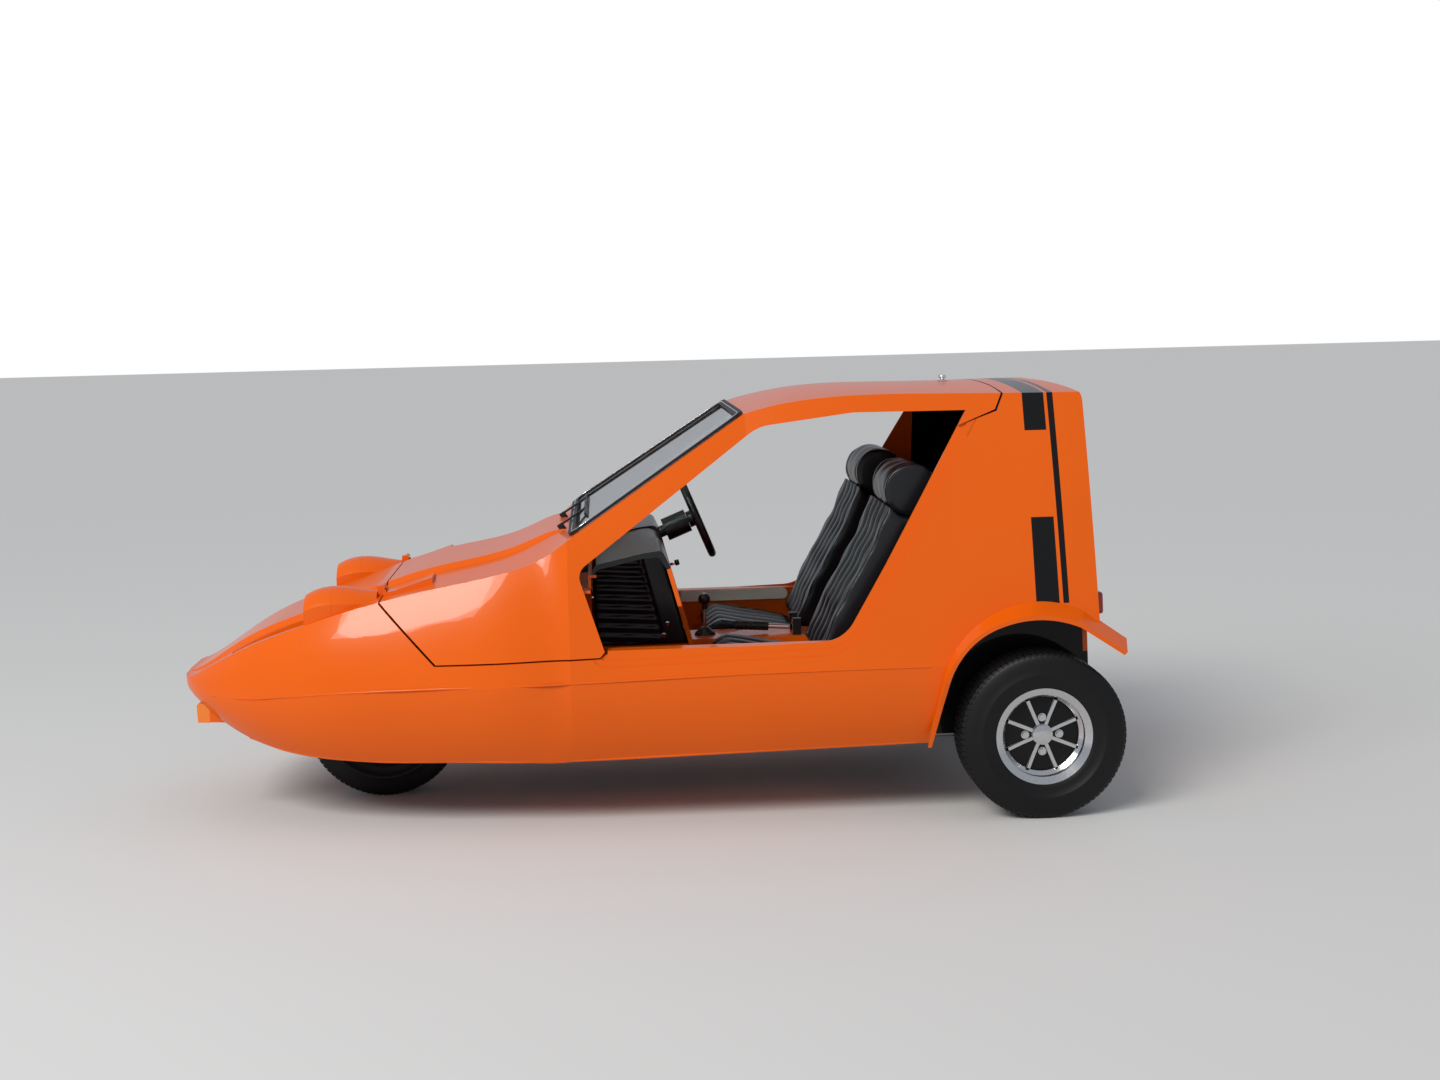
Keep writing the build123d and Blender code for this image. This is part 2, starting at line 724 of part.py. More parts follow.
front += rod((pivot.X, pivot.Y - 26, pivot.Z), (pivot.X, pivot.Y + 26, pivot.Z), 8)
tower = slab([(862, 205), (905, 205), (905, 480), (800, 560), (760, 560), (760, 520)], tower_y, tower_y + 10)
front += tower + block(cross_stations[0], 951, tower_y - 60, tower_y + 10, 196, floor_height - seat_gap)
front += rod((775, tower_y + 2, 540), (775, tower_y - 34, 540), 9)
front -= rails
pieces = [*rails.solids(), *front.solids()]
for member in members:
    pieces += member.solids()
save("chassis_frame", Compound(children=pieces))

# Front leading arm, its damper, and the knuckle it carries on a fixed kingpin

pin_top = wheel_height + knuckle_half + ear_thickness + 4
arm = rod((front_axle_station, kingpin_y, wheel_height - knuckle_half - ear_thickness - 4),
          (front_axle_station, kingpin_y, pin_top), kingpin_radius)
for low in (wheel_height - knuckle_half - ear_thickness - 0.5, wheel_height + knuckle_half + 0.5):
    arm += rod((front_axle_station, kingpin_y, low), (front_axle_station, kingpin_y, low + ear_thickness), 22)
    arm += block(front_axle_station - 16, front_axle_station + 16, kingpin_y, kingpin_y + 96, low, low + ear_thickness)
arm += block(front_axle_station - 18, front_axle_station + 18, kingpin_y + 84, kingpin_y + 112,
             wheel_height - knuckle_half - ear_thickness - 0.5, wheel_height + knuckle_half + ear_thickness + 0.5)
knee = (front_axle_station + 60, pivot.Y, 236)
arm += rod((front_axle_station, kingpin_y + 98, 240), knee, 20)
arm += ball(knee, 20)
arm += rod(knee, (pivot.X - 6, pivot.Y, pivot.Z), 20)
arm += rod((pivot.X, pivot.Y - 22, pivot.Z), (pivot.X, pivot.Y + 22, pivot.Z), 22)
arm -= rod((pivot.X, pivot.Y - 40, pivot.Z), (pivot.X, pivot.Y + 40, pivot.Z), 8 + spindle_clearance)
damper_foot = Vector(700, pivot.Y, 262)
arm += rod((700, pivot.Y, 228), damper_foot, 14)
save("front_arm", arm)

eye = Vector(775, tower_y - 20, 540)
run = (eye - damper_foot).normalized()
damper = rod(damper_foot + run * 4, damper_foot + run * 24, 12)
damper += rod(damper_foot + run * 20, damper_foot + run * 150, 22)
damper += rod(damper_foot + run * 140, eye - run * 16, 8)
damper += rod((eye.X, eye.Y - 12, eye.Z), (eye.X, eye.Y + 12, eye.Z), 20)
damper -= rod((eye.X, eye.Y - 30, eye.Z), (eye.X, eye.Y + 30, eye.Z), 9 + spindle_clearance)
save("front_damper", damper)

knuckle = rod((front_axle_station, kingpin_y, wheel_height - knuckle_half),
              (front_axle_station, kingpin_y, wheel_height + knuckle_half), knuckle_radius)
knuckle += rod((front_axle_station, kingpin_y - 8, wheel_height),
               (front_axle_station, -spindle_reach, wheel_height), spindle_radius)
knuckle -= rod((front_axle_station, kingpin_y, 100), (front_axle_station, kingpin_y, 400),
               kingpin_radius + spindle_clearance)
knuckle += block(front_axle_station - 92, front_axle_station - 14, kingpin_y + 2, kingpin_y + 16,
                 wheel_height + 8, wheel_height + 30)
save("front_knuckle", knuckle)

# Wheels, drawn with the outer face up and then stood on their sides

def turned(points):
    """A ring from a half section of (radius, height) points; a point marked as middle makes an arc."""
    edges = []
    i = 0
    count = len(points)
    while i < count:
        a, b, c = points[i], points[(i + 1) % count], points[(i + 2) % count]
        if len(b) > 2:
            edges.append(Edge.make_three_point_arc(Vector(a[0], 0, a[1]), Vector(b[0], 0, b[1]), Vector(c[0], 0, c[1])))
            i += 2
        else:
            edges.append(Edge.make_line(Vector(a[0], 0, a[1]), Vector(b[0], 0, b[1])))
            i += 1
    return revolve(Face(Wire(edges)), Axis.Z)


half = tyre_width / 2
tread = tyre_tread_width / 2
tyre = turned([
    (bead_radius, -60), (bead_radius + 15, -62), (tyre_radius - 57, -half), (tyre_radius, -tread),
    (tyre_radius, tread), (tyre_radius - 57, half), (bead_radius + 15, 62), (bead_radius, 60),
])
lip = rim_width / 2
seat_radius = bead_radius - seat_gap
well_radius = seat_radius - rim_well_depth
lip_radius = bead_radius + rim_lip_height
barrel = turned([
    (lip_radius, -lip), (lip_radius, -lip + rim_wall), (seat_radius, -60.6), (seat_radius, -45), (well_radius, -34),
    (well_radius, 24), (seat_radius, 36), (seat_radius, 60.6), (lip_radius, lip - rim_wall), (lip_radius, lip),
    (seat_radius - rim_wall, lip - 10), (seat_radius - rim_wall, 40), (well_radius - rim_wall, 28),
    (well_radius - rim_wall, -38), (seat_radius - rim_wall, -49), (seat_radius - rim_wall, -lip + 10),
])
disc_edge = well_radius - rim_wall + 2
bore = spindle_radius + spindle_clearance
disc = turned([
    (bore, hub_back), (hub_boss_radius, hub_back), (hub_boss_radius, 8), (62, 20), (disc_edge, 16),
    (disc_edge, 16 + disc_thickness), (62, 20 + disc_thickness), (hub_boss_radius, hub_face), (bore, hub_face),
])
rim = barrel + disc
for i in range(rib_count):
    rib = extrude(Plane.XZ * make_face(Polyline(
        (hub_boss_radius - 4, 24), (hub_boss_radius - 4, hub_face + 2), (58, hub_face), (disc_edge, 36),
        (disc_edge, 20), close=True)), rib_width / 2, both=True)
    rim += Rot(0, 0, (i + 0.5) * 360 / rib_count) * rib
for i in range(nut_count):
    at = Rot(0, 0, i * 360 / nut_count) * Pos(nut_circle, 0, 0)
    rim += at * extrude(Pos(0, 0, nut_seat) * Circle(nut_radius + 3), hub_face + 2 - nut_seat)
    rim += at * extrude(Pos(0, 0, hub_face + 1) * RegularPolygon(nut_radius, 6), nut_height)
cap = turned([(0.001, hub_face), (cap_radius, hub_face), (cap_radius, hub_face + cap_height - 4),
              (cap_radius * 0.7, hub_face + cap_height - 1, "mid"), (0.001, hub_face + cap_height)])
rim += cap
stands = {
    "front": (front_axle_station, 0, -1),
    "rear_left": (rear_axle_station, -rear_track / 2, -1),
    "rear_right": (rear_axle_station, rear_track / 2, 1),
}
for name, (station, y, side) in stands.items():
    place = Pos(x_at(station), y, wheel_height) * Rot(-90 * side, 0, 0)
    save(name + "_tyre", place * tyre)
    save(name + "_rim", place * rim)

# Rear axle with drums and spindles, springs, trailing arms and propeller shaft

drum_face = rear_track / 2 + hub_back - running_gap
axle_end = rear_track / 2 + spindle_reach
spindle = rod((rear_axle_station, 0, wheel_height), (rear_axle_station, axle_end, wheel_height), spindle_radius)
side_part = rod((rear_axle_station, 60, wheel_height), (rear_axle_station, drum_face - drum_width + 4, wheel_height),
                axle_tube_radius)
side_part += rod((rear_axle_station, drum_face - drum_width, wheel_height),
                 (rear_axle_station, drum_face, wheel_height), drum_radius)
spring_station = rear_axle_station + 4
side_part += rod((spring_station, rail_half_spacing, wheel_height),
                 (spring_station, rail_half_spacing, spring_foot - seat_gap), spring_radius + 8)
side_part += spindle
axle = side_part + mirrored(side_part)
axle += ball((rear_axle_station, 0, wheel_height), diff_radius)
axle += rod((rear_axle_station - diff_radius - 38, 0, wheel_height + 6), (rear_axle_station, 0, wheel_height), 40)
save("rear_axle", axle)

spring_top = rail_rows[3][1] - seat_gap
pitch = (spring_top - spring_foot) / spring_turns
profile = [(spring_radius - spring_wire, spring_foot)]
for i in range(spring_turns):
    low = spring_foot + i * pitch
    profile += [(spring_radius - spring_wire * 0.25, low + pitch * 0.25),
                (spring_radius, low + pitch / 2),
                (spring_radius - spring_wire * 0.25, low + pitch * 0.75),
                (spring_radius - spring_wire, low + pitch)]
profile += [(spring_radius - spring_wire - 5, spring_top), (spring_radius - spring_wire - 5, spring_foot)]
spring = Pos(x_at(spring_station), rail_half_spacing, 0) * turned(profile)
save("rear_springs", pair(spring))

rod_front = Vector(2108, trailing_y, 186)
rod_rear = Vector(rear_axle_station, trailing_y, wheel_height - axle_tube_radius - 20 - seat_gap)
link = rod(rod_front, rod_rear, 13)
for eye in (rod_front, rod_rear):
    link += rod((eye.X, eye.Y - 18, eye.Z), (eye.X, eye.Y + 18, eye.Z), 20)
link += rod((rod_front.X, rail_half_spacing + rail_width / 2 + seat_gap, rod_front.Z),
            (rod_front.X, trailing_y + 26, rod_front.Z), 10)
save("trailing_arms", pair(link))

nose_of_diff = Vector(rear_axle_station - diff_radius - 38 - seat_gap, 0, wheel_height + 6)
tail_of_box = Vector(gearbox_end + seat_gap, 0, shaft_height)
aim = (nose_of_diff - tail_of_box).normalized()
shaft = rod(tail_of_box + aim * 3, nose_of_diff - aim * 3, propshaft_radius)
for end, way in ((tail_of_box + aim * 3, 1), (nose_of_diff - aim * 3, -1)):
    shaft += rod(end, end + aim * 30 * way, 33)
save("propeller_shaft", shaft)

engine = block(engine_start + 2, engine_end - 2, -engine_half, engine_half, engine_foot, engine_top)
engine += rod((engine_end - 4, 0, shaft_height + 40), (1420, 0, shaft_height + 20), gearbox_radius + 30)
engine += rod((1400, 0, shaft_height), (gearbox_end, 0, shaft_height), 68)
engine = fillet(engine.edges().filter_by(Axis.Z), 18)
for y in (-70, 70):
    engine += block(cross_stations[0] + 12, 949, y - 20, y + 20, floor_height, engine_foot + 2)
engine += block(cross_stations[1] + 6, cross_stations[1] + 40, -30, 30, floor_height, shaft_height - 50)
save("engine_block", engine)

pipe_start = (1180, exhaust_y, exhaust_height)
exhaust = rod((1180, exhaust_y, engine_foot - seat_gap), pipe_start, exhaust_radius)
exhaust += ball(pipe_start, exhaust_radius)
exhaust += rod(pipe_start, (2745, exhaust_y, exhaust_height), exhaust_radius)
exhaust += rod((1650, exhaust_y, exhaust_height), (1990, exhaust_y, exhaust_height), silencer_radius)
exhaust += rod((2745 - tail_sleeve_length, exhaust_y, exhaust_height), (2745, exhaust_y, exhaust_height),
               tail_sleeve_radius)
exhaust -= rod((2700, exhaust_y, exhaust_height), (2800, exhaust_y, exhaust_height), exhaust_radius - 3)
exhaust += block(2012, 2022, -inner + seat_gap, exhaust_y, exhaust_height - 8, exhaust_height + 8)
exhaust += block(1640, 1651, -inner + seat_gap, exhaust_y, exhaust_height - 8, exhaust_height + 8)
exhaust += rod((cross_stations[3] + 20, exhaust_y, exhaust_height),
               (cross_stations[3] + 20, exhaust_y, rail_rows[3][1] + 8 - seat_gap), 6)
save("exhaust", exhaust)

tank = block(2455, 2690, -inner + 8, inner - 8, shelf_height - panel - 120, shelf_height - panel - seat_gap)
save("fuel_tank", fillet(tank.edges(), 22))

# Seats, head rolls, belt buckles and sill strips

cushion_rows = [(1640, 300.4, 12), (1606, 500, 24), (1652, 536, 26), (1760, 500, 90), (1888, 462, 30),
                (1962, 420, 20), (1962, 300.4, 12)]
back_rows = [(1900, 474), (1963, 614), (2066, 793), (2122, 925, 22), (2180, 925, 22)]
back_rows = back_rows + [(s - 0.8, z, 0) for s, z in bulkhead_rows[::-1] if z > 380] + [(1990, 424)]
roll = rod((roll_station, seat_offset - roll_half_length, roll_height),
           (roll_station, seat_offset + roll_half_length, roll_height), roll_radius)
cradle = rod((roll_station, 0, roll_height), (roll_station, 800, roll_height), roll_radius + seat_gap)
y_in, y_out = seat_offset - seat_half_width, seat_offset + seat_half_width
cushion = slab(cushion_rows, y_in, y_out)
back = slab(back_rows, y_in, y_out) - cradle - slab([(s, z) for s, z, _ in cushion_rows], y_in - 1, y_out + 1)
save("seat_cushions", pair(cushion))
save("seat_backs", pair(back.solids().sort_by(SortBy.VOLUME)[-1]))
save("head_rolls", pair(fillet(roll.edges().filter_by(GeomType.CIRCLE), 14)))
buckle = Pos(x_at(1885), 62, engine_box_top + seat_gap + 26) * Box(26, 24, 52)
save("belt_buckles", pair(buckle))
strip = slab([(1544, 492), (1544, 529), (1916, 529, 18), (1916, 492, 18)], sill_inner - 5, sill_inner - seat_gap)
save("sill_strips", pair(strip))

# Gear lever, handbrake, pedals and steering column

lever_station = 1598
gear_knob_radius = 19
stick = rod((lever_station, 0, engine_box_top + seat_gap), (lever_station, 0, 562), 5)
stick += rod((1702, 0, 494), (1886, 0, 482), 8)
stick += block(1868, 1904, -10, 10, engine_box_top + seat_gap, 494)
save("control_levers", Compound(children=list(stick.solids())))
gaiter = turned([(5.3, engine_box_top + seat_gap), (34, engine_box_top + seat_gap), (30, 476), (12, 492), (5.3, 492)])
knob = Pos(0, 0, 600 - gear_knob_radius) * Sphere(gear_knob_radius) + Pos(0, 0, 558) * Cylinder(9, 20)
knob -= Pos(0, 0, 552.4) * Cylinder(5.3, 20)
grip = rod((1694, 0, 494.6), (1800, 0, 487.7), 14) - rod((1701, 0, 494.1), (1900, 0, 481), 8.3)
save("lever_grips", Compound(children=[Pos(x_at(lever_station), 0, 0) * gaiter, Pos(x_at(lever_station), 0, 0) * knob, grip]))

pedals = rod((1012, 196, 520), (1012, 452, 520), 7)
for y in (212, 440):
    pedals += block(toe_station + panel + seat_gap, 1016, y - 4, y + 4, 505, 535)
for y in pedal_places:
    pedals += slab([(1004, 520), (1020, 520), (1062, 345), (1048, 340)], y - 5, y + 5)
    pedals += slab([(1044, 326), (1052, 322), (1086, 372), (1078, 378)], y - 26, y + 26)
save("pedals", pedals)

cowl_end = wheel_centre - column_direction * 30
column = rod(column_foot, cowl_end - column_direction * (cowl_length - 4), column_radius)
column += rod(cowl_end - column_direction * cowl_length, cowl_end, cowl_radius)
column += block(toe_station + panel + seat_gap, toe_station + panel + 12, column_foot.Y - 40, column_foot.Y + 40,
                column_foot.Z - 34, column_foot.Z + 50)
stub_end = wheel_centre - column_direction * 8
column += rod(cowl_end - column_direction * 2, stub_end, 9)
save("steering_column", column)
hub_point = Vector(x_at(wheel_centre.X), wheel_centre.Y, wheel_centre.Z)
wheel_plane = Plane(origin=hub_point, x_dir=(0, 1, 0), z_dir=column_direction)
ring_section = Plane(origin=hub_point + Vector(0, steering_wheel_radius - rim_grip_radius, 0),
                     x_dir=(0, 1, 0), z_dir=wheel_plane.y_dir) * Circle(rim_grip_radius)
hand_wheel = revolve(ring_section, Axis(hub_point, column_direction))
for turn in (-90, 30, 150):
    hand_wheel += wheel_plane * Rot(0, 0, turn) * Pos(steering_wheel_radius / 2 - 6, 0, -4) * Box(
        steering_wheel_radius - 18, 26, 5)
hand_wheel += rod(cowl_end + column_direction * 0.5, wheel_centre + column_direction * 6, 27)
hand_wheel -= rod(cowl_end - column_direction * 5, stub_end + column_direction * 0.5, 9 + spindle_clearance)
save("steering_wheel", hand_wheel)

# Headlamps: a lens seated in a rim that is one piece with its bowl

def facing_forward(shape, side):
    return Pos(x_at(pod_face_station + 12), side * pod_offset, lamp_height) * Rot(0, -90, 0) * shape



lamp_seat = 8
bowl = turned([(62.3, 3), (lamp_radius, 1), (lamp_radius, -12), (58, -14), (40, -29), (18, -38), (0.001, -38),
               (0.001, -35), (17, -35), (38, -26.5), (55, -11.5), (62.3, -lamp_seat - seat_gap)])
lens = turned([(0.001, -lamp_seat), (62, -lamp_seat), (62, 0), (34, 6, "mid"), (0.001, 8)])
save("headlamp_bowls", Compound(children=[facing_forward(bowl, s) for s in (1, -1)]))
save("headlamp_lenses", Compound(children=[facing_forward(lens, s) for s in (1, -1)]))

# Rear window and lamps on the raked tail panel

tail_down = Vector(tail_waist_station - tail_top_station, 0, -(1250 - waist_split)).normalized()
tail_plane = Plane(origin=(x_at(tail_top_station), 0, 1250), x_dir=(0, 1, 0), z_dir=Vector(-tail_down.Z, 0, tail_down.X))


def rear_window_outline(grow):
    face = make_face(Polyline((-430 - grow, -380 - grow), (430 + grow, -380 - grow), (400 + grow, -100 + grow),
                              (-400 - grow, -100 + grow), close=True))
    return fillet(face.vertices(), 36 + grow)


tail_shell -= extrude(tail_plane * rear_window_outline(0), 60, both=True)
save("tail_shell", tail_shell)
save("rear_window", extrude(tail_plane * Pos(0, 0, -glass_thickness - 1) * rear_window_outline(-1), glass_thickness))
rear_seal = rear_window_outline(seal_width / 2) - rear_window_outline(-seal_width / 2)
save("rear_window_seal", extrude(tail_plane * Pos(0, 0, seat_gap) * rear_seal, 6))
lamp = extrude(tail_plane * Pos(500, -640, seat_gap) * RectangleRounded(130, 64, 10), 30)
save("tail_lamps", pair(fillet(lamp.faces().sort_by(Axis.X)[-1].edges(), 6)))

# Wipers and the chromed roof knob, carried by the canopy

wiper_ground = clear_of_form & block(1100, 1200, -300, 500, 780, 900)
wiper_parts = []
for y, reach in ((230, 330), (-120, 330)):
    blade_middle = y - reach / 2 - 20
    one = screen_plane * Pos(y, -14, 0) * extrude(Circle(10), 26)
    one += screen_plane * Pos(blade_middle, 66, 3.6) * Box(reach, 7, 8.6)
    arm_from, arm_to = Vector(y, -14, 22), Vector(blade_middle, 66, 8)
    one += screen_plane * extrude(Plane(origin=arm_from, z_dir=arm_to - arm_from) * Circle(3.6),
                                  (arm_to - arm_from).length)
    wiper_parts.append((one - wiper_ground).solids().sort_by(SortBy.VOLUME)[-1])
save("wipers", Compound(children=wiper_parts))
knob_foot = 1250.8
roof_knob = turned([(0.001, knob_foot), (16, knob_foot), (16, knob_foot + 3), (7, knob_foot + 4), (7, knob_foot + 8),
                    (knob_radius, knob_foot + 11), (knob_radius, knob_top - 4), (knob_radius - 1.2, knob_top - 1.6),
                    (knob_radius - 4, knob_top), (0.001, knob_top)])
save("roof_knob", Pos(x_at(knob_station), 0, 0) * roof_knob)
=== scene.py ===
import math

import bmesh
import bpy
import numpy as np
from mathutils import Matrix, Vector


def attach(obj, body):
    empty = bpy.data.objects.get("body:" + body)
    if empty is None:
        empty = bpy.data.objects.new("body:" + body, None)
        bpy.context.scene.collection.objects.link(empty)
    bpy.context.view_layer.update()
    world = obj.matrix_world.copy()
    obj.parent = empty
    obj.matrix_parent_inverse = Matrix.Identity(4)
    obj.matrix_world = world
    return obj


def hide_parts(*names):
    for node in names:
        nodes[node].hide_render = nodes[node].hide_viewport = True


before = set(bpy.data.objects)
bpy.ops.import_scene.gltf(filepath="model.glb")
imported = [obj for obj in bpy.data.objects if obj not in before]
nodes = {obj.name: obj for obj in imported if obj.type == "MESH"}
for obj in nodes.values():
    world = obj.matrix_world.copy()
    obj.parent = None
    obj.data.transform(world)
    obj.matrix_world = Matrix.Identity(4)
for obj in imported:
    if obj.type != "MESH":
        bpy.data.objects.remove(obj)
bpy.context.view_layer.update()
print("frame loaded:", len(nodes), "nodes")

halfLength = 1.395  # the frame's origin lies this far behind the nose tip


def linear(hexColour):  # sRGB hex to linear
    parts = [int(hexColour[i:i + 2], 16) / 255 for i in (1, 3, 5)]
    return tuple(c / 12.92 if c <= 0.04045 else ((c + 0.055) / 1.055) ** 2.4 for c in parts) + (1,)


def addNode(tree, kind, settings):  # a socket, or a node's first output, is linked; any other value is set
    node = tree.nodes.new(kind)
    for name, value in settings.items():
        if isinstance(value, bpy.types.Node):
            value = value.outputs[0]
        if isinstance(value, bpy.types.NodeSocket):
            tree.links.new(value, node.inputs[name])
        elif isinstance(name, int) or name in node.inputs:
            node.inputs[name].default_value = value
        else:
            setattr(node, name, value)
    return node


def startMaterial(name, settings):
    material = bpy.data.materials.new(name)
    material.use_nodes = True
    shader = material.node_tree.nodes["Principled BSDF"]
    for key, value in settings.items():
        shader.inputs[key].default_value = value
    return material, material.node_tree, shader


def grainInto(tree, shader, scale, depth):  # fine relief from noise, depth in metres
    coords = addNode(tree, "ShaderNodeTexCoord", {}).outputs["Object"]
    noise = addNode(tree, "ShaderNodeTexNoise", {
        "Scale": scale, "Detail": 4, "Roughness": 0.6, "Vector": coords})
    bump = addNode(tree, "ShaderNodeBump", {
        "Strength": 1.0, "Distance": depth, "Height": noise.outputs["Fac"]})
    tree.links.new(bump.outputs["Normal"], shader.inputs["Normal"])
    return coords


def variedColour(tree, shader, coords, low, high, scale):  # soft patches between two close colours
    patches = addNode(tree, "ShaderNodeTexNoise", {"Scale": scale, "Detail": 3.0, "Vector": coords})
    mix = addNode(tree, "ShaderNodeMix", {
        "data_type": "RGBA", 6: linear(low), 7: linear(high), "Factor": patches.outputs["Fac"]})
    tree.links.new(mix.outputs[2], shader.inputs["Base Color"])
    return mix


# Camera at the photograph's place

view = {"place": (-0.102, -6.264, 1.477), "yaw": 3.29, "pitch": 6.45, "roll": -1.43, "lens": 49.9}
yaw, pitch, roll = (math.radians(view[k]) for k in ("yaw", "pitch", "roll"))
forward = Vector((math.sin(yaw) * math.cos(pitch), math.cos(yaw) * math.cos(pitch), -math.sin(pitch)))
level = Vector((math.cos(yaw), -math.sin(yaw), 0))
upright = level.cross(forward)
right = level * math.cos(roll) + upright * math.sin(roll)
up = upright * math.cos(roll) - level * math.sin(roll)
camera = bpy.data.objects.new("camera", bpy.data.cameras.new("camera"))
bpy.context.scene.collection.objects.link(camera)
camera.matrix_world = Matrix((
    (right.x, up.x, -forward.x, view["place"][0]),
    (right.y, up.y, -forward.y, view["place"][1]),
    (right.z, up.z, -forward.z, view["place"][2]),
    (0, 0, 0, 1),
))
camera.data.lens = view["lens"]
camera.data.sensor_width = 36
camera.data.clip_end = 200
bpy.context.scene.camera = camera
print("camera placed")

# Finishes

paint = {"base": "#E46003", "shade": "#DA5902", "patches": 1.6, "ripples": 160, "peel": 0.00003, "gloss": 0.3}


def gelCoat(name):  # pigmented gel coat on glass fibre: deep gloss with a faint orange peel, ripples of 6 mm
    material, tree, shader = startMaterial(name, {
        "Roughness": paint["gloss"], "IOR": 1.5, "Specular IOR Level": 0.12, "Coat Weight": 0.4,
        "Coat Roughness": 0.03, "Coat IOR": 1.45})
    coords = grainInto(tree, shader, paint["ripples"], paint["peel"])
    mix = variedColour(tree, shader, coords, paint["shade"], paint["base"], paint["patches"])
    return material, tree, shader, coords, mix


def tailCoat():  # the same gel coat with painted black bands outside, and painted shade in black on the faces that look inward, down and forward
    material, tree, shader, coords, mix = gelCoat("bandedGelCoat")
    bands = {  # front edge at the top and its lean, back edge at the top and its lean
        "wide": (1.120, 0.011, 1.183, 0.016),
        "thin": (1.192, 0.018, 1.210, 0.017),
        "top": 1.22, "foot": 0.625, "gapFoot": 0.872, "gapTop": 1.12, "shadeFrom": 0.955, "black": "#0B0B0C",
    }
    facing = {"side": 0.25, "front": 0.4}  # how far a normal leans before it counts as facing that way
    x, y, z = addNode(tree, "ShaderNodeSeparateXYZ", {"Vector": coords}).outputs
    height = addNode(tree, "ShaderNodeMath", {"operation": "MINIMUM", 0: z, 1: bands["top"]})
    drop = addNode(tree, "ShaderNodeMath", {"operation": "SUBTRACT", 0: bands["top"], 1: height})
    share = addNode(tree, "ShaderNodeMath", {  # nought at the bands' top, one at their foot
        "operation": "DIVIDE", 0: drop, 1: bands["top"] - bands["foot"]})
    inBand = {}
    for name in ("wide", "thin"):
        front, frontLean, back, backLean = bands[name]
        low = addNode(tree, "ShaderNodeMath", {"operation": "MULTIPLY_ADD", 0: share, 1: frontLean, 2: front})
        high = addNode(tree, "ShaderNodeMath", {"operation": "MULTIPLY_ADD", 0: share, 1: backLean, 2: back})
        behind = addNode(tree, "ShaderNodeMath", {"operation": "GREATER_THAN", 0: x, 1: low})
        ahead = addNode(tree, "ShaderNodeMath", {"operation": "LESS_THAN", 0: x, 1: high})
        inBand[name] = addNode(tree, "ShaderNodeMath", {"operation": "MULTIPLY", 0: behind, 1: ahead})
    over = addNode(tree, "ShaderNodeMath", {"operation": "GREATER_THAN", 0: z, 1: bands["gapFoot"]})
    under = addNode(tree, "ShaderNodeMath", {"operation": "LESS_THAN", 0: z, 1: bands["gapTop"]})
    gap = addNode(tree, "ShaderNodeMath", {"operation": "MULTIPLY", 0: over, 1: under})
    solid = addNode(tree, "ShaderNodeMath", {"operation": "SUBTRACT", 0: 1.0, 1: gap})
    wide = addNode(tree, "ShaderNodeMath", {"operation": "MULTIPLY", 0: inBand["wide"], 1: solid})
    both = addNode(tree, "ShaderNodeMath", {"operation": "MAXIMUM", 0: wide, 1: inBand["thin"]})
    aboveFoot = addNode(tree, "ShaderNodeMath", {"operation": "GREATER_THAN", 0: z, 1: bands["foot"]})
    both = addNode(tree, "ShaderNodeMath", {"operation": "MULTIPLY", 0: both, 1: aboveFoot})

    normal = addNode(tree, "ShaderNodeNewGeometry", {}).outputs["Normal"]
    wayX, wayY, wayZ = addNode(tree, "ShaderNodeSeparateXYZ", {"Vector": normal}).outputs
    side = addNode(tree, "ShaderNodeMath", {"operation": "SIGN", 0: y})
    outward = addNode(tree, "ShaderNodeMath", {"operation": "MULTIPLY", 0: wayY, 1: side})
    faceOut = addNode(tree, "ShaderNodeMath", {"operation": "GREATER_THAN", 0: outward, 1: facing["side"]})
    faceUp = addNode(tree, "ShaderNodeMath", {"operation": "GREATER_THAN", 0: wayZ, 1: facing["side"]})
    outside = addNode(tree, "ShaderNodeMath", {"operation": "MAXIMUM", 0: faceOut, 1: faceUp})
    both = addNode(tree, "ShaderNodeMath", {"operation": "MULTIPLY", 0: both, 1: outside})
    # painted shade: towards the back, the faces that look inward, down or forward are coloured black
    faceIn = addNode(tree, "ShaderNodeMath", {"operation": "LESS_THAN", 0: outward, 1: -facing["side"]})
    faceDown = addNode(tree, "ShaderNodeMath", {"operation": "LESS_THAN", 0: wayZ, 1: -facing["side"]})
    faceFront = addNode(tree, "ShaderNodeMath", {"operation": "LESS_THAN", 0: wayX, 1: -facing["front"]})
    inside = addNode(tree, "ShaderNodeMath", {"operation": "MAXIMUM", 0: faceIn, 1: faceDown})
    inside = addNode(tree, "ShaderNodeMath", {"operation": "MAXIMUM", 0: inside, 1: faceFront})
    pastShadeFrom = addNode(tree, "ShaderNodeMath", {"operation": "GREATER_THAN", 0: x, 1: bands["shadeFrom"]})
    insideShade = addNode(tree, "ShaderNodeMath", {"operation": "MULTIPLY", 0: inside, 1: pastShadeFrom})
    black = addNode(tree, "ShaderNodeMath", {"operation": "MAXIMUM", 0: both, 1: insideShade})
    coat = addNode(tree, "ShaderNodeMix", {
        "data_type": "RGBA", 7: linear(bands["black"]), "Factor": black, 6: mix.outputs[2]})
    tree.links.new(coat.outputs[2], shader.inputs["Base Color"])
    return material


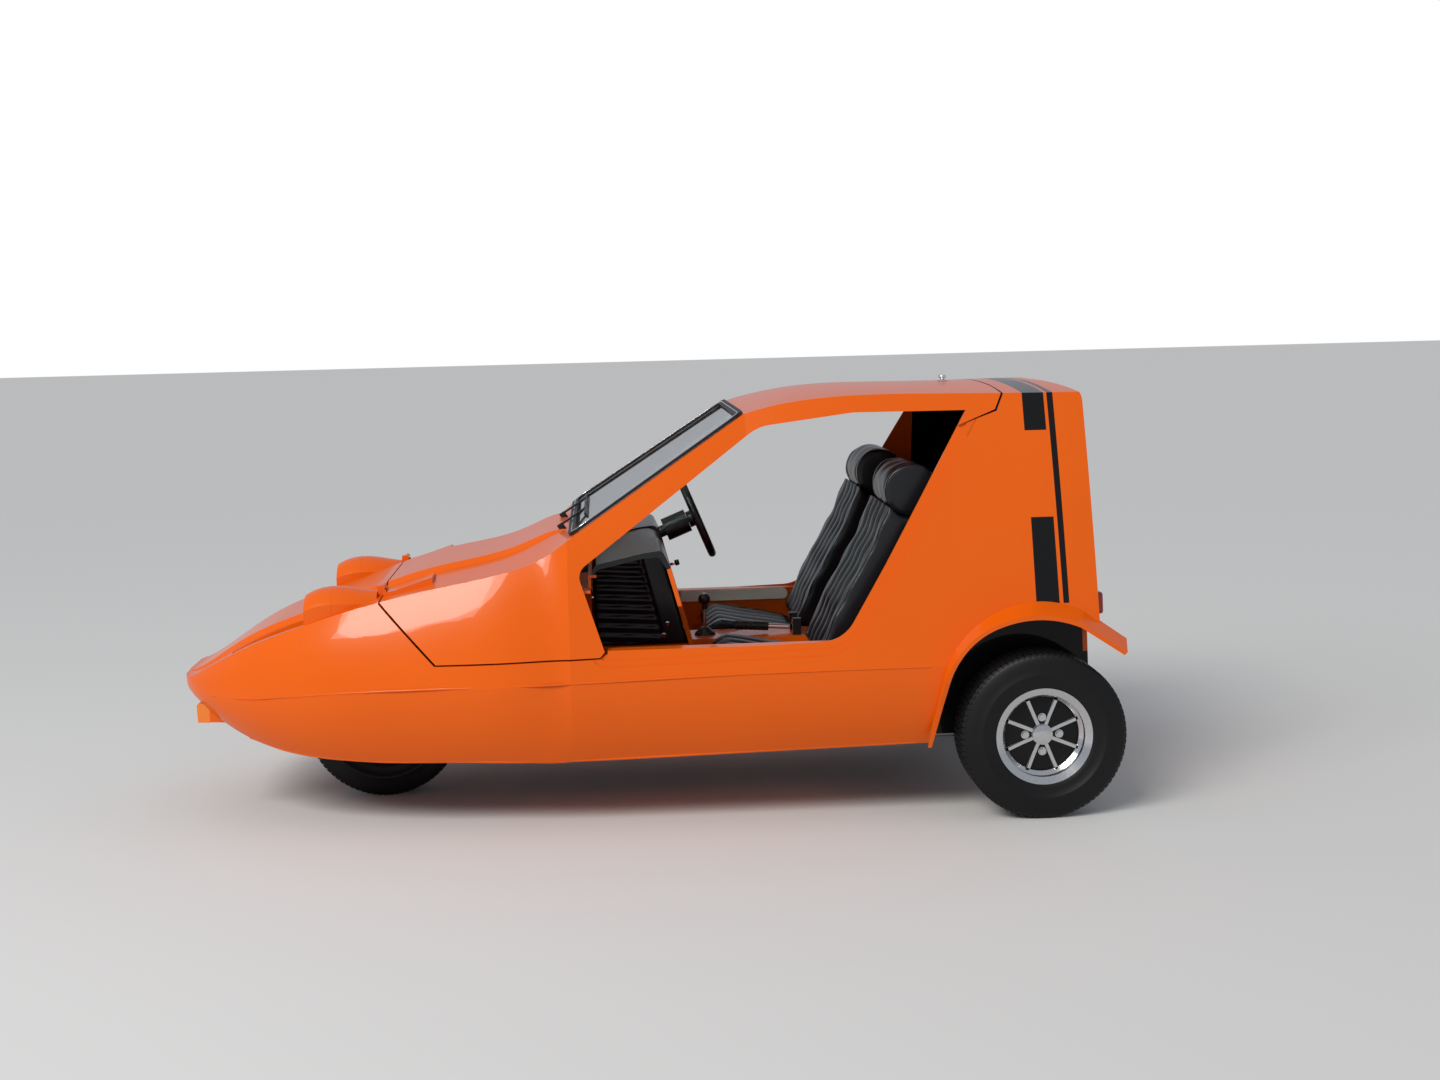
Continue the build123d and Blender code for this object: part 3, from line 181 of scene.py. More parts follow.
def archShadeCoat():  # gel coat painted black round the inside of the rear wheel arches as painted shade, rougher there than the coat
    material, tree, shader, coords, mix = gelCoat("archShadedGelCoat")
    arch = {"axle": (1.144, 0.0, 0.243), "reach": 0.40, "wall": 0.578, "black": "#0B0A0A", "rough": 0.85}
    flat = addNode(tree, "ShaderNodeVectorMath", {"operation": "MULTIPLY", 0: coords, 1: (1.0, 0.0, 1.0)})
    away = addNode(tree, "ShaderNodeVectorMath", {"operation": "DISTANCE", 0: flat, 1: arch["axle"]})
    near = addNode(tree, "ShaderNodeMath", {
        "operation": "LESS_THAN", 0: away.outputs["Value"], 1: arch["reach"]})
    y = addNode(tree, "ShaderNodeSeparateXYZ", {"Vector": coords}).outputs["Y"]
    aside = addNode(tree, "ShaderNodeMath", {"operation": "ABSOLUTE", 0: y})
    inner = addNode(tree, "ShaderNodeMath", {"operation": "LESS_THAN", 0: aside, 1: arch["wall"]})
    # painted shade: black inside the rear arches, within reach of the axle and inboard of the outer wall
    inArchShade = addNode(tree, "ShaderNodeMath", {"operation": "MULTIPLY", 0: near, 1: inner})
    coat = addNode(tree, "ShaderNodeMix", {
        "data_type": "RGBA", 7: linear(arch["black"]), "Factor": inArchShade, 6: mix.outputs[2]})
    tree.links.new(coat.outputs[2], shader.inputs["Base Color"])
    rough = addNode(tree, "ShaderNodeMapRange", {
        "To Min": paint["gloss"], "To Max": arch["rough"], "Value": inArchShade})
    tree.links.new(rough.outputs[0], shader.inputs["Roughness"])
    return material


orange = gelCoat("orangeGelCoat")[0]
banded = tailCoat()
archShaded = archShadeCoat()


def plainFinish(name, low, high, settings, grain, depth, patch=8.0):
    material, tree, shader = startMaterial(name, settings)
    coords = grainInto(tree, shader, grain, depth)
    variedColour(tree, shader, coords, low, high, patch)
    return material


# calendered vinyl on foam: a 1.5 mm leather grain and a soft bluish sheen under the sky
vinyl = plainFinish("blackVinyl", "#08090C", "#14161C", {
    "Roughness": 0.34, "IOR": 1.5, "Specular IOR Level": 0.32, "Coat Weight": 0.22, "Coat Roughness": 0.2},
    620, 0.00025, 30)
# extruded rubber: matt, with a fine bloom
rubber = plainFinish("sealRubber", "#0A0A0A", "#141414", {"Roughness": 0.55, "IOR": 1.5}, 300, 0.0001)
# vulcanised rubber: nearly black, with a dull sheen on the shoulders
tyreRubber = plainFinish("tyreRubber", "#060607", "#0D0D0E", {
    "Roughness": 0.46, "IOR": 1.5, "Specular IOR Level": 0.28}, 420, 0.0002, 14)
# injection moulded ABS: an even, fine eroded texture
mouldedBlack = plainFinish("mouldedBlack", "#0C0C0D", "#161617", {
    "Roughness": 0.42, "IOR": 1.5}, 500, 0.00012)
# brushed chassis enamel: half matt, with slow waves from the brush
chassisPaint = plainFinish("chassisPaint", "#0E0E0F", "#1B1A19", {"Roughness": 0.5, "IOR": 1.5}, 90, 0.0002)
# sand cast iron: dull grey with a rough skin
ironCast = plainFinish("castIron", "#2A2A2B", "#47443F", {"Roughness": 0.7, "Metallic": 0.6}, 240, 0.0005)
# zinc plate on drawn steel: light grey, half bright
zincSteel = plainFinish("zincSteel", "#8F8F90", "#B4B4B5", {"Roughness": 0.34, "Metallic": 1.0}, 140, 0.0001)
# chromium plate: a mirror with barely a ripple
chrome = plainFinish("chromePlate", "#D6D6D8", "#E2E2E4", {"Roughness": 0.07, "Metallic": 1.0}, 60, 0.00001)
# extruded PVC: cream, satin
creamPlastic = plainFinish("creamPlastic", "#F0EADA", "#F8F4EA", {"Roughness": 0.3, "IOR": 1.46}, 80, 0.00008)
# moulded acrylic: bright surface over small prisms
amberLens = plainFinish("amberLens", "#E06A05", "#F08A10", {
    "Roughness": 0.12, "IOR": 1.49, "Coat Weight": 0.5}, 500, 0.0003)
redLens = plainFinish("redLens", "#8E0806", "#B01310", {
    "Roughness": 0.12, "IOR": 1.49, "Coat Weight": 0.5}, 500, 0.0003)


def clearGlass(name, tint, pattern, depth):  # polished glass, its slight relief from the pattern
    material, tree, shader = startMaterial(name, {
        "Roughness": 0.02, "IOR": 1.5, "Transmission Weight": 1.0, "Base Color": linear(tint)})
    coords = addNode(tree, "ShaderNodeTexCoord", {}).outputs["Object"]
    kind, settings = pattern
    relief = addNode(tree, kind, {**settings, "Vector": coords})
    bump = addNode(tree, "ShaderNodeBump", {
        "Strength": 0.6, "Distance": depth, "Height": relief.outputs["Fac"]})
    tree.links.new(bump.outputs["Normal"], shader.inputs["Normal"])
    return material


# float glass, grey-green through its thickness, with hardly any wave
screenGlass = clearGlass("screenGlass", "#B7C3BF", ("ShaderNodeTexNoise", {"Scale": 3.0}), 0.00002)
# pressed lamp glass with upright flutes: this scale sets them 1.91 mm apart
lampGlass = clearGlass("lampGlass", "#F4F6F6", (
    "ShaderNodeTexWave", {"Scale": 164.46011, "bands_direction": "Y", "Distortion": 0.0}), 0.0004)


def wheelFinish(name, centre):  # cast alloy: black enamel with the ribs, lip, cap and nuts machined bright
    material, tree, shader = startMaterial(name, {"IOR": 1.5, "Specular IOR Level": 0.25})
    wheel = {
        "ribs": 8, "ribHalf": 0.0052, "hub": 0.03, "ribEnd": 0.107, "lip": 0.109,
        "nuts": 4, "nutRing": 0.05, "nut": 0.012, "faceFrom": -0.01,
        "enamel": "#0A0B0C", "metal": ("#B9BABC", "#DADBDD"), "brushing": 180.0,
    }
    coords = addNode(tree, "ShaderNodeTexCoord", {}).outputs["Object"]
    moved = addNode(tree, "ShaderNodeMapping", {"Location": tuple(-c for c in centre), "Vector": coords})
    x, y, z = addNode(tree, "ShaderNodeSeparateXYZ", {"Vector": moved}).outputs
    squareX = addNode(tree, "ShaderNodeMath", {"operation": "MULTIPLY", 0: x, 1: x})
    squareZ = addNode(tree, "ShaderNodeMath", {"operation": "MULTIPLY", 0: z, 1: z})
    square = addNode(tree, "ShaderNodeMath", {"operation": "ADD", 0: squareX, 1: squareZ})
    radius = addNode(tree, "ShaderNodeMath", {"operation": "SQRT", 0: square})
    angle = addNode(tree, "ShaderNodeMath", {"operation": "ARCTAN2", 0: z, 1: x})

    ribStep = math.pi / wheel["ribs"]
    folded = addNode(tree, "ShaderNodeMath", {"operation": "PINGPONG", 0: angle, 1: ribStep})
    # nought along the middle of a rib
    fromRib = addNode(tree, "ShaderNodeMath", {"operation": "SUBTRACT", 0: folded, 1: ribStep})
    lean = addNode(tree, "ShaderNodeMath", {"operation": "SINE", 0: fromRib})
    across = addNode(tree, "ShaderNodeMath", {"operation": "MULTIPLY", 0: radius, 1: lean})
    aside = addNode(tree, "ShaderNodeMath", {"operation": "ABSOLUTE", 0: across})
    narrow = addNode(tree, "ShaderNodeMath", {"operation": "LESS_THAN", 0: aside, 1: wheel["ribHalf"]})
    past = addNode(tree, "ShaderNodeMath", {"operation": "GREATER_THAN", 0: radius, 1: wheel["hub"]})
    short = addNode(tree, "ShaderNodeMath", {"operation": "LESS_THAN", 0: radius, 1: wheel["ribEnd"]})
    reach = addNode(tree, "ShaderNodeMath", {"operation": "MULTIPLY", 0: past, 1: short})
    rib = addNode(tree, "ShaderNodeMath", {"operation": "MULTIPLY", 0: narrow, 1: reach})

    fromNut = addNode(tree, "ShaderNodeMath", {"operation": "PINGPONG", 0: angle, 1: math.pi / wheel["nuts"]})
    nutSine = addNode(tree, "ShaderNodeMath", {"operation": "SINE", 0: fromNut})
    nutCosine = addNode(tree, "ShaderNodeMath", {"operation": "COSINE", 0: fromNut})
    nutAside = addNode(tree, "ShaderNodeMath", {"operation": "MULTIPLY", 0: radius, 1: nutSine})
    nutOut = addNode(tree, "ShaderNodeMath", {"operation": "MULTIPLY", 0: radius, 1: nutCosine})
    nutAway = addNode(tree, "ShaderNodeMath", {"operation": "SUBTRACT", 0: nutOut, 1: wheel["nutRing"]})
    squareAside = addNode(tree, "ShaderNodeMath", {"operation": "MULTIPLY", 0: nutAside, 1: nutAside})
    squareAway = addNode(tree, "ShaderNodeMath", {"operation": "MULTIPLY", 0: nutAway, 1: nutAway})
    nutSquare = addNode(tree, "ShaderNodeMath", {"operation": "ADD", 0: squareAside, 1: squareAway})
    nutAt = addNode(tree, "ShaderNodeMath", {"operation": "SQRT", 0: nutSquare})

    bright = rib
    for operation, measured, limit in (("GREATER_THAN", radius, "lip"), ("LESS_THAN", radius, "hub"),
                                       ("LESS_THAN", nutAt, "nut")):
        within = addNode(tree, "ShaderNodeMath", {"operation": operation, 0: measured, 1: wheel[limit]})
        bright = addNode(tree, "ShaderNodeMath", {"operation": "MAXIMUM", 0: bright, 1: within})
    side = addNode(tree, "ShaderNodeMath", {"operation": "MULTIPLY", 0: y, 1: 1.0 if centre[1] > 0 else -1.0})
    face = addNode(tree, "ShaderNodeMath", {"operation": "GREATER_THAN", 0: side, 1: wheel["faceFrom"]})
    bright = addNode(tree, "ShaderNodeMath", {"operation": "MULTIPLY", 0: bright, 1: face})

    brushed = addNode(tree, "ShaderNodeTexNoise", {
        "Scale": wheel["brushing"], "Detail": 3.0, "Vector": coords})
    dull, light = (linear(shade) for shade in wheel["metal"])
    metal = addNode(tree, "ShaderNodeMix", {
        "data_type": "RGBA", 6: dull, 7: light, "Factor": brushed.outputs["Fac"]})
    colour = addNode(tree, "ShaderNodeMix", {
        "data_type": "RGBA", 6: linear(wheel["enamel"]), "Factor": bright, 7: metal.outputs[2]})
    tree.links.new(colour.outputs[2], shader.inputs["Base Color"])
    tree.links.new(bright.outputs[0], shader.inputs["Metallic"])
    rough = addNode(tree, "ShaderNodeMapRange", {"To Min": 0.34, "To Max": 0.16, "Value": bright})
    tree.links.new(rough.outputs[0], shader.inputs["Roughness"])
    bump = addNode(tree, "ShaderNodeBump", {"Distance": 0.00006, "Height": brushed.outputs["Fac"]})
    tree.links.new(bump.outputs["Normal"], shader.inputs["Normal"])
    return material


wheelCentres = {
    "front": (-0.812, 0, 0.243), "rear_left": (1.144, -0.6, 0.243), "rear_right": (1.144, 0.6, 0.243)}
wheelFinishes = {name: wheelFinish(name + "Alloy", centre) for name, centre in wheelCentres.items()}

nodeFinish = {
    "nose_panel": orange, "lamp_hoods": orange, "canopy_shell": orange, "body_tub": archShaded,
    "rear_flares": orange,
    "cabin_moulding": orange, "fascia": orange, "tail_shell": banded,
    "hinge_brackets": orange, "hinge_leaves": orange,
    "windscreen": screenGlass, "rear_window": screenGlass, "headlamp_lenses": lampGlass,
    "windscreen_seal": rubber, "rear_window_seal": rubber, "nose_strip": rubber,
    "front_indicators": amberLens, "tail_lamps": redLens, "dash_pad": vinyl, "engine_cover": vinyl,
    "chassis_frame": chassisPaint, "front_damper": chassisPaint, "front_knuckle": chassisPaint,
    "front_arm": zincSteel, "rear_axle": chassisPaint, "rear_springs": chassisPaint,
    "trailing_arms": zincSteel,
    "propeller_shaft": zincSteel, "engine_block": ironCast, "exhaust": zincSteel,
    "fuel_tank": chassisPaint,
    "seat_cushions": vinyl, "seat_backs": vinyl, "head_rolls": vinyl, "belt_buckles": mouldedBlack,
    "sill_strips": creamPlastic, "control_levers": chrome, "lever_grips": mouldedBlack,
    "pedals": chassisPaint,
    "steering_column": mouldedBlack, "steering_wheel": mouldedBlack, "headlamp_bowls": chrome,
    "wipers": mouldedBlack, "roof_knob": chrome,
}
for name in wheelCentres:
    nodeFinish[name + "_tyre"] = tyreRubber
    nodeFinish[name + "_rim"] = wheelFinishes[name]
for name, material in nodeFinish.items():
    nodes[name].data.materials.clear()
    nodes[name].data.materials.append(material)
print("finishes set on", len(nodeFinish), "of", len(nodes), "nodes")


# New pieces

def addPiece(mesh, name, body, material):
    if isinstance(mesh, bmesh.types.BMesh):
        made = bpy.data.meshes.new(name)
        mesh.to_mesh(made)
        mesh.free()
        mesh = made
    piece = bpy.data.objects.new(name, mesh)
    bpy.context.scene.collection.objects.link(piece)
    mesh.materials.clear()
    mesh.materials.append(material)
    mesh.shade_smooth()
    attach(piece, body)
    return piece


def curveMesh(curve):  # the mesh of a bevelled curve
    holder = bpy.data.objects.new("holder", curve)
    bpy.context.scene.collection.objects.link(holder)
    mesh = bpy.data.meshes.new_from_object(holder.evaluated_get(bpy.context.evaluated_depsgraph_get()))
    bpy.data.objects.remove(holder)
    return mesh


def softCopy(node, voxel, smoothing):  # a closed, evenly meshed copy of a soft solid, with its edges eased
    work = bpy.data.objects.new("work", nodes[node].data.copy())
    bpy.context.scene.collection.objects.link(work)
    merged = bmesh.new()
    merged.from_mesh(work.data)
    bmesh.ops.remove_doubles(merged, verts=merged.verts, dist=0.00005)
    merged.to_mesh(work.data)
    merged.free()
    remesh = work.modifiers.new("remesh", "REMESH")
    remesh.mode = "VOXEL"
    remesh.voxel_size = voxel
    ease = work.modifiers.new("ease", "SMOOTH")
    ease.factor = 0.5
    ease.iterations = smoothing
    mesh = bpy.data.meshes.new_from_object(work.evaluated_get(bpy.context.evaluated_depsgraph_get()))
    bpy.data.objects.remove(work)
    return mesh


def sculpt(mesh, shape):  # moves each vertex along its normal by what shape gives for its place and normal
    count = len(mesh.vertices)
    co, normal = np.zeros(count * 3), np.zeros(count * 3)
    mesh.vertices.foreach_get("co", co)
    mesh.vertex_normals.foreach_get("vector", normal)
    co, normal = co.reshape(-1, 3), normal.reshape(-1, 3)
    co = co + normal * shape(co, normal)[:, None]
    mesh.vertices.foreach_set("co", co.ravel())
    mesh.update()


seat = {
    "centre": 0.330, "half": 0.200, "channels": 5, "depth": 0.021, "roundness": 0.6, "border": 0.012,
    "borderFade": 0.02, "crease": 0.0022, "voxel": 0.007, "smoothing": 10, "fill": 0.7,
    "frontDrop": 0.040, "plinthTop": 0.32, "padDepth": 0.21, "backEdge": 0.55, "length": 0.30,
    "backShare": 0.35,
}


def seatChannels(co, normal):  # sewn channels on the faces that look up and forward, with small creases
    across = (np.abs(co[:, 1]) - seat["centre"] + seat["half"]) / (2 * seat["half"]) * seat["channels"]
    pillow = np.abs(np.sin(np.pi * across)) ** seat["roundness"] - 1
    shown = np.clip((normal[:, 2] * 0.9 - normal[:, 0] * 0.9 - 0.15) / 0.4, 0, 1)
    fromEdge = seat["half"] - seat["border"] - np.abs(np.abs(co[:, 1]) - seat["centre"])
    inner = np.clip(fromEdge / seat["borderFade"], 0, 1)
    along = np.sin(co[:, 2] * 61 + np.sin(co[:, 1] * 43) * 1.4)
    aside = np.sin(co[:, 1] * 37 + co[:, 2] * 9)
    return shown * (inner * seat["depth"] * pillow + seat["crease"] * along * aside)


def lowerFront(mesh):  # in the photograph the cushions lie lower than the solid's top, most of all in front
    co = np.zeros(len(mesh.vertices) * 3)
    mesh.vertices.foreach_get("co", co)
    co = co.reshape(-1, 3)
    high = np.clip((co[:, 2] - seat["plinthTop"]) / seat["padDepth"], 0, 1)
    front = np.clip((seat["backEdge"] - co[:, 0]) / seat["length"], 0, 1)
    co[:, 2] -= seat["frontDrop"] * high * (seat["backShare"] + (1 - seat["backShare"]) * front)
    mesh.vertices.foreach_set("co", co.ravel())
    mesh.update()


for node, name in (("seat_cushions", "seatCushionPads"), ("seat_backs", "seatBackPads")):
    mesh = softCopy(node, seat["voxel"], seat["smoothing"])
    sculpt(mesh, seatChannels)
    if node == "seat_cushions":
        lowerFront(mesh)
    pad = addPiece(mesh, name, "body", vinyl)
    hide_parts(node)

roll = {
    "centre": 0.330, "x": 2.192 - halfLength, "z": 0.950, "radius": 0.080, "piping": 0.112,
    "pipingWidth": 0.006, "pipingDepth": 0.006, "fold": 0.0025, "crown": 0.010, "sunk": 0.002,
}


def rollCreases(co, normal):  # piped seams near both ends, soft folds between them, and crowned ends
    away = np.abs(co[:, 1]) - roll["centre"]
    seam = np.exp(-((np.abs(away) - roll["piping"]) / roll["pipingWidth"]) ** 2)
    turn = np.arctan2(co[:, 2] - roll["z"], co[:, 0] - roll["x"])
    fold = roll["fold"] * np.sin(away * 60 + 1.2 * np.sin(turn * 3)) * np.sin(turn * 2 + 0.6)
    fold *= np.clip((0.75 - np.abs(normal[:, 1])) / 0.3, 0, 1)  # none on the flat ends
    distance = np.hypot(co[:, 0] - roll["x"], co[:, 2] - roll["z"])
    facesEnd = np.clip(np.abs(normal[:, 1]) - 0.6, 0, 1)
    crown = -roll["crown"] * facesEnd * (distance / roll["radius"]) ** 2
    return -roll["pipingDepth"] * seam + fold + crown - roll["sunk"]


mesh = softCopy("head_rolls", 0.005, 6)
sculpt(mesh, rollCreases)
rolls = addPiece(mesh, "headRollPads", "body", vinyl)
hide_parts("head_rolls")
print("seats padded")

cover = {
    "rollWidth": 0.075, "pleats": 9, "low": 0.478, "high": 0.742, "depth": 0.010, "roundness": 0.5,
    "backEdge": 1.536, "foot": 0.468, "backLean": 0.080 / 0.332, "pleatLean": 0.06,
    "seamDepth": 0.007, "seamWidth": 0.005, "drape": 0.003,
}


def coverPleats(co, normal):  # level pleats on both sides, a seam along the rear roll, a loose top edge
    edge = cover["backEdge"] - (co[:, 2] - cover["foot"]) * cover["backLean"] - halfLength
    beforeRoll = edge - cover["rollWidth"] - co[:, 0]
    ahead = np.clip(beforeRoll / 0.006, 0, 1)
    pitch = (cover["high"] - cover["low"]) / cover["pleats"]
    row = (co[:, 2] - cover["low"] + (co[:, 0] + 0.05) * cover["pleatLean"]) / pitch
    pleat = np.abs(np.sin(np.pi * row)) ** cover["roundness"] - 1
    within = np.clip((cover["high"] + 0.01 - co[:, 2]) / 0.02, 0, 1)
    side = np.clip((np.abs(normal[:, 1]) - 0.4) / 0.3, 0, 1)
    seam = np.exp(-(beforeRoll / cover["seamWidth"]) ** 2)
    drape = cover["drape"] * np.sin(co[:, 0] * 46 + np.sin(co[:, 2] * 60)) * (1 - within)
    return side * (ahead * within * cover["depth"] * pleat - cover["seamDepth"] * seam + drape * ahead)


mesh = softCopy("engine_cover", 0.006, 8)
sculpt(mesh, coverPleats)
pad = addPiece(mesh, "engineCoverPad", "body", vinyl)
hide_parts("engine_cover")
print("engine cover pleated")

# Tyres with sidewall ribs and cut tread blocks

tyre = {
    "steps": 84, "tread": 0.2428, "bandFrom": 0.2315, "turnFrom": 0.231, "gap": 0.0022, "lift": 0.0052,
    "edgeLift": 0.0026, "edge": 0.064, "stagger": 0.018, "sharp": 38,
    "section": [
        (0.127, 0.060), (0.134, 0.0655), (0.146, 0.0700), (0.150, 0.0722), (0.156, 0.0728), (0.176, 0.0800),
        (0.179, 0.0822), (0.184, 0.0824), (0.187, 0.0806), (0.205, 0.0782), (0.222, 0.0735), (0.230, 0.0705),
        (0.2365, 0.0630), (0.2368, 0.0440), (0.2372, 0.0260), (0.2374, 0.0090),
    ],
    "inner": [(0.133, -0.046), (0.172, -0.068), (0.216, -0.058), (0.229, -0.045)],
}


def makeTyre(name, centre):  # the section spun round, with the tread's faces inset and raised as blocks
    mesh = bmesh.new()
    outline = tyre["section"] + [(r, -y) for r, y in tyre["section"][::-1]]
    inner = tyre["inner"] + [(r, -y) for r, y in tyre["inner"][::-1]]
    ring = [mesh.verts.new((r, y, 0)) for r, y in outline + inner]
    edges = [mesh.edges.new((a, b)) for a, b in zip(ring, ring[1:] + ring[:1])]
    bmesh.ops.spin(mesh, geom=ring + edges, cent=(0, 0, 0), axis=(0, 1, 0), angle=2 * math.pi,
                   steps=tyre["steps"], use_merge=True)
    bmesh.ops.remove_doubles(mesh, verts=mesh.verts, dist=0.00002)
    bmesh.ops.recalc_face_normals(mesh, faces=mesh.faces)
    mesh.normal_update()
    middles = [(face, face.calc_center_median()) for face in mesh.faces]
    band = [face for face, middle in middles if math.hypot(middle.x, middle.z) > tyre["bandFrom"]]
    bmesh.ops.inset_individual(mesh, faces=band, thickness=tyre["gap"], depth=0.0, use_even_offset=True)
    for face in band:
        middle = face.calc_center_median()
        out = Vector((middle.x, 0, middle.z)).normalized()
        lift = tyre["lift"] if abs(middle.y) < tyre["edge"] else tyre["edgeLift"]
        bmesh.ops.translate(mesh, verts=face.verts, vec=out * lift)
    for vert in mesh.verts:  # blocks stagger from row to row, and none stands over the tread
        reach = math.hypot(vert.co.x, vert.co.z)
        if reach > tyre["turnFrom"]:
            turn = tyre["stagger"] * math.sin(abs(vert.co.y) * 95)
            vert.co = Matrix.Rotation(turn, 3, "Y") @ vert.co
            if reach > tyre["tread"] + 0.0002:
                vert.co.x *= tyre["tread"] / reach
                vert.co.z *= tyre["tread"] / reach
    bmesh.ops.translate(mesh, verts=mesh.verts, vec=centre)
    body = "front_wheel" if name == "front" else name + "_wheel"
    piece = addPiece(mesh, name + "TreadedTyre", body, tyreRubber)
    edge = piece.modifiers.new("edge", "EDGE_SPLIT")
    edge.split_angle = math.radians(tyre["sharp"])
    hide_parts(name + "_tyre")


for name, centre in wheelCentres.items():
    makeTyre(name, centre)
print("tyres cut")

# Bright insert in the screen seal, studs, knob, buttons, beads and grip ribs

screen = {
    "foot": (1.180, 0.844), "head": (1.708, 1.189), "low": 0.022, "inset": 0.014, "halfLow": 0.535,
    "halfHigh": 0.425, "lift": 0.0085, "insertRadius": 0.0017, "insertCorner": 0.045,
}
run = Vector((screen["head"][0] - screen["foot"][0], 0, screen["head"][1] - screen["foot"][1]))
runLength = run.length
run.normalize()
outward = Vector((-run.z, 0, run.x))


def stationed(station, y, z):  # a station is measured back from the nose tip
    return Vector((station - halfLength, y, z))


def onScreen(across, along):
    foot = stationed(screen["foot"][0], across, screen["foot"][1])
    return foot + run * along + outward * screen["lift"]


def boundTube(name, corners, radius, corner, body, material):
    # a closed tube through rounded corners, made from a bevelled curve
    curve = bpy.data.curves.new(name, "CURVE")
    curve.dimensions = "3D"
    curve.bevel_depth = radius
    curve.bevel_resolution = 2
    curve.resolution_u = 8
    spline = curve.splines.new("BEZIER")
    spline.bezier_points.add(len(corners) * 2 - 1)
    for i, here in enumerate(corners):
        before, after = corners[i - 1], corners[(i + 1) % len(corners)]
        back, ahead = (before - here).normalized(), (after - here).normalized()
        for k, way in ((0, back), (1, ahead)):
            point = spline.bezier_points[i * 2 + k]
            point.co = here + way * corner
            pull = here + way * corner * 0.45
            away = here + way * corner * 1.6
            point.handle_left = away if k == 0 else pull
            point.handle_right = pull if k == 0 else away
    spline.use_cyclic_u = True
    return addPiece(curveMesh(curve), name, body, material)


top = runLength - screen["inset"]
corners = [onScreen(-screen["halfLow"], screen["low"]), onScreen(screen["halfLow"], screen["low"]),
           onScreen(screen["halfHigh"], top), onScreen(-screen["halfHigh"], top)]
boundTube("screenSealInsert", corners, screen["insertRadius"], screen["insertCorner"], "canopy", chrome)


def disc(name, centre, normal, radius, height, material):  # a round fitting with an eased rim
    mesh = bmesh.new()
    bmesh.ops.create_cone(mesh, cap_ends=True, segments=24, radius1=radius, radius2=radius, depth=height)
    rim = [e for e in mesh.edges if all(v.co.z > 0 for v in e.verts)]
    bmesh.ops.bevel(mesh, geom=rim, offset=min(radius, height) * 0.35, segments=3, profile=0.5,
                    affect="EDGES", material=-1)
    turn = Vector((0, 0, 1)).rotation_difference(Vector(normal)).to_matrix().to_4x4()
    bmesh.ops.transform(mesh, matrix=Matrix.Translation(centre) @ turn, verts=mesh.verts)
    return addPiece(mesh, name, "body", material)


fasciaWay = (0.966, 0, 0.26)  # the fascia's face leans back
fittings = (  # name, station, y, z, facing, radius, height, finish, slot
    ("coverStudLow", 1.462, -0.1695, 0.497, (0, -1, 0), 0.008, 0.006, chrome, "chrome"),
    ("coverStudHigh", 1.474, -0.1695, 0.534, (0, -1, 0), 0.007, 0.006, chrome, "chrome"),
    ("chokeStem", 1.4975, -0.090, 0.7080, fasciaWay, 0.0045, 0.018, chrome, "chrome"),
    ("chokeKnob", 1.5120, -0.090, 0.7119, fasciaWay, 0.009, 0.014, mouldedBlack, "black_plastic"),
    ("buckleButtonLeft", 1.8715, -0.062, 0.508, (-1, 0, 0), 0.008, 0.004, redLens, "red_lens"),
    ("buckleButtonRight", 1.8715, 0.062, 0.508, (-1, 0, 0), 0.008, 0.004, redLens, "red_lens"),
    ("gearKnobDot", 1.598, 0, 0.5995, (0, 0, 1), 0.008, 0.002, creamPlastic, "cream_plastic"),
)
for name, station, y, z, facing, radius, height, finish, slotName in fittings:
    disc(name, stationed(station, y, z), facing, radius, height, finish)

beads = {  # rows of station, half width and height
    "waistBead": {"radius": 0.0030, "sunk": 0.0012, "rows": [
        (0.110, 0.335, 0.388), (0.220, 0.420, 0.390), (0.350, 0.492, 0.404), (0.560, 0.565, 0.423),
        (0.850, 0.622, 0.435), (1.050, 0.642, 0.438), (1.180, 0.647, 0.441), (1.708, 0.655, 0.454),
        (2.060, 0.655, 0.456), (2.215, 0.655, 0.456)]},
    "footBead": {"radius": 0.0050, "sunk": 0.0025, "rows": [
        (0.220, 0.360, 0.263), (0.350, 0.425, 0.229), (0.560, 0.495, 0.210), (0.850, 0.546, 0.207),
        (1.050, 0.570, 0.204), (1.180, 0.576, 0.204), (1.708, 0.588, 0.215), (2.060, 0.590, 0.222),
        (2.180, 0.590, 0.224)]},
}
for name, bead in beads.items():  # the moulded ridge along the waist and the rolled edge along the foot
    for side, word in ((-1, "Left"), (1, "Right")):
        curve = bpy.data.curves.new(name, "CURVE")
        curve.dimensions = "3D"
        curve.bevel_depth = bead["radius"]
        curve.bevel_resolution = 2
        curve.use_fill_caps = True
        spline = curve.splines.new("BEZIER")
        spline.bezier_points.add(len(bead["rows"]) - 1)
        for point, (station, y, z) in zip(spline.bezier_points, bead["rows"]):
            point.co = stationed(station, side * (y - bead["sunk"]), z)
            point.handle_left_type = point.handle_right_type = "AUTO"
        addPiece(curveMesh(curve), name + word, "body", orange)

grip = {
    "rings": 7, "from": 1.700, "to": 1.786, "height": 0.4944, "drop": 0.0059,
    "radius": 0.0152, "width": 0.0032,
}
ribs = bmesh.new()
for i in range(grip["rings"]):  # ribs round the handbrake grip
    share = i / (grip["rings"] - 1)
    station = grip["from"] + (grip["to"] - grip["from"]) * share
    centre = stationed(station, 0, grip["height"] - grip["drop"] * share)
    bmesh.ops.create_cone(
        ribs, cap_ends=True, segments=24, radius1=grip["radius"], radius2=grip["radius"], depth=grip["width"],
        matrix=Matrix.Translation(centre) @ Matrix.Rotation(math.pi / 2, 4, "Y"))
addPiece(ribs, "gripRibs", "body", mouldedBlack)
print("small fittings added")

# Stage

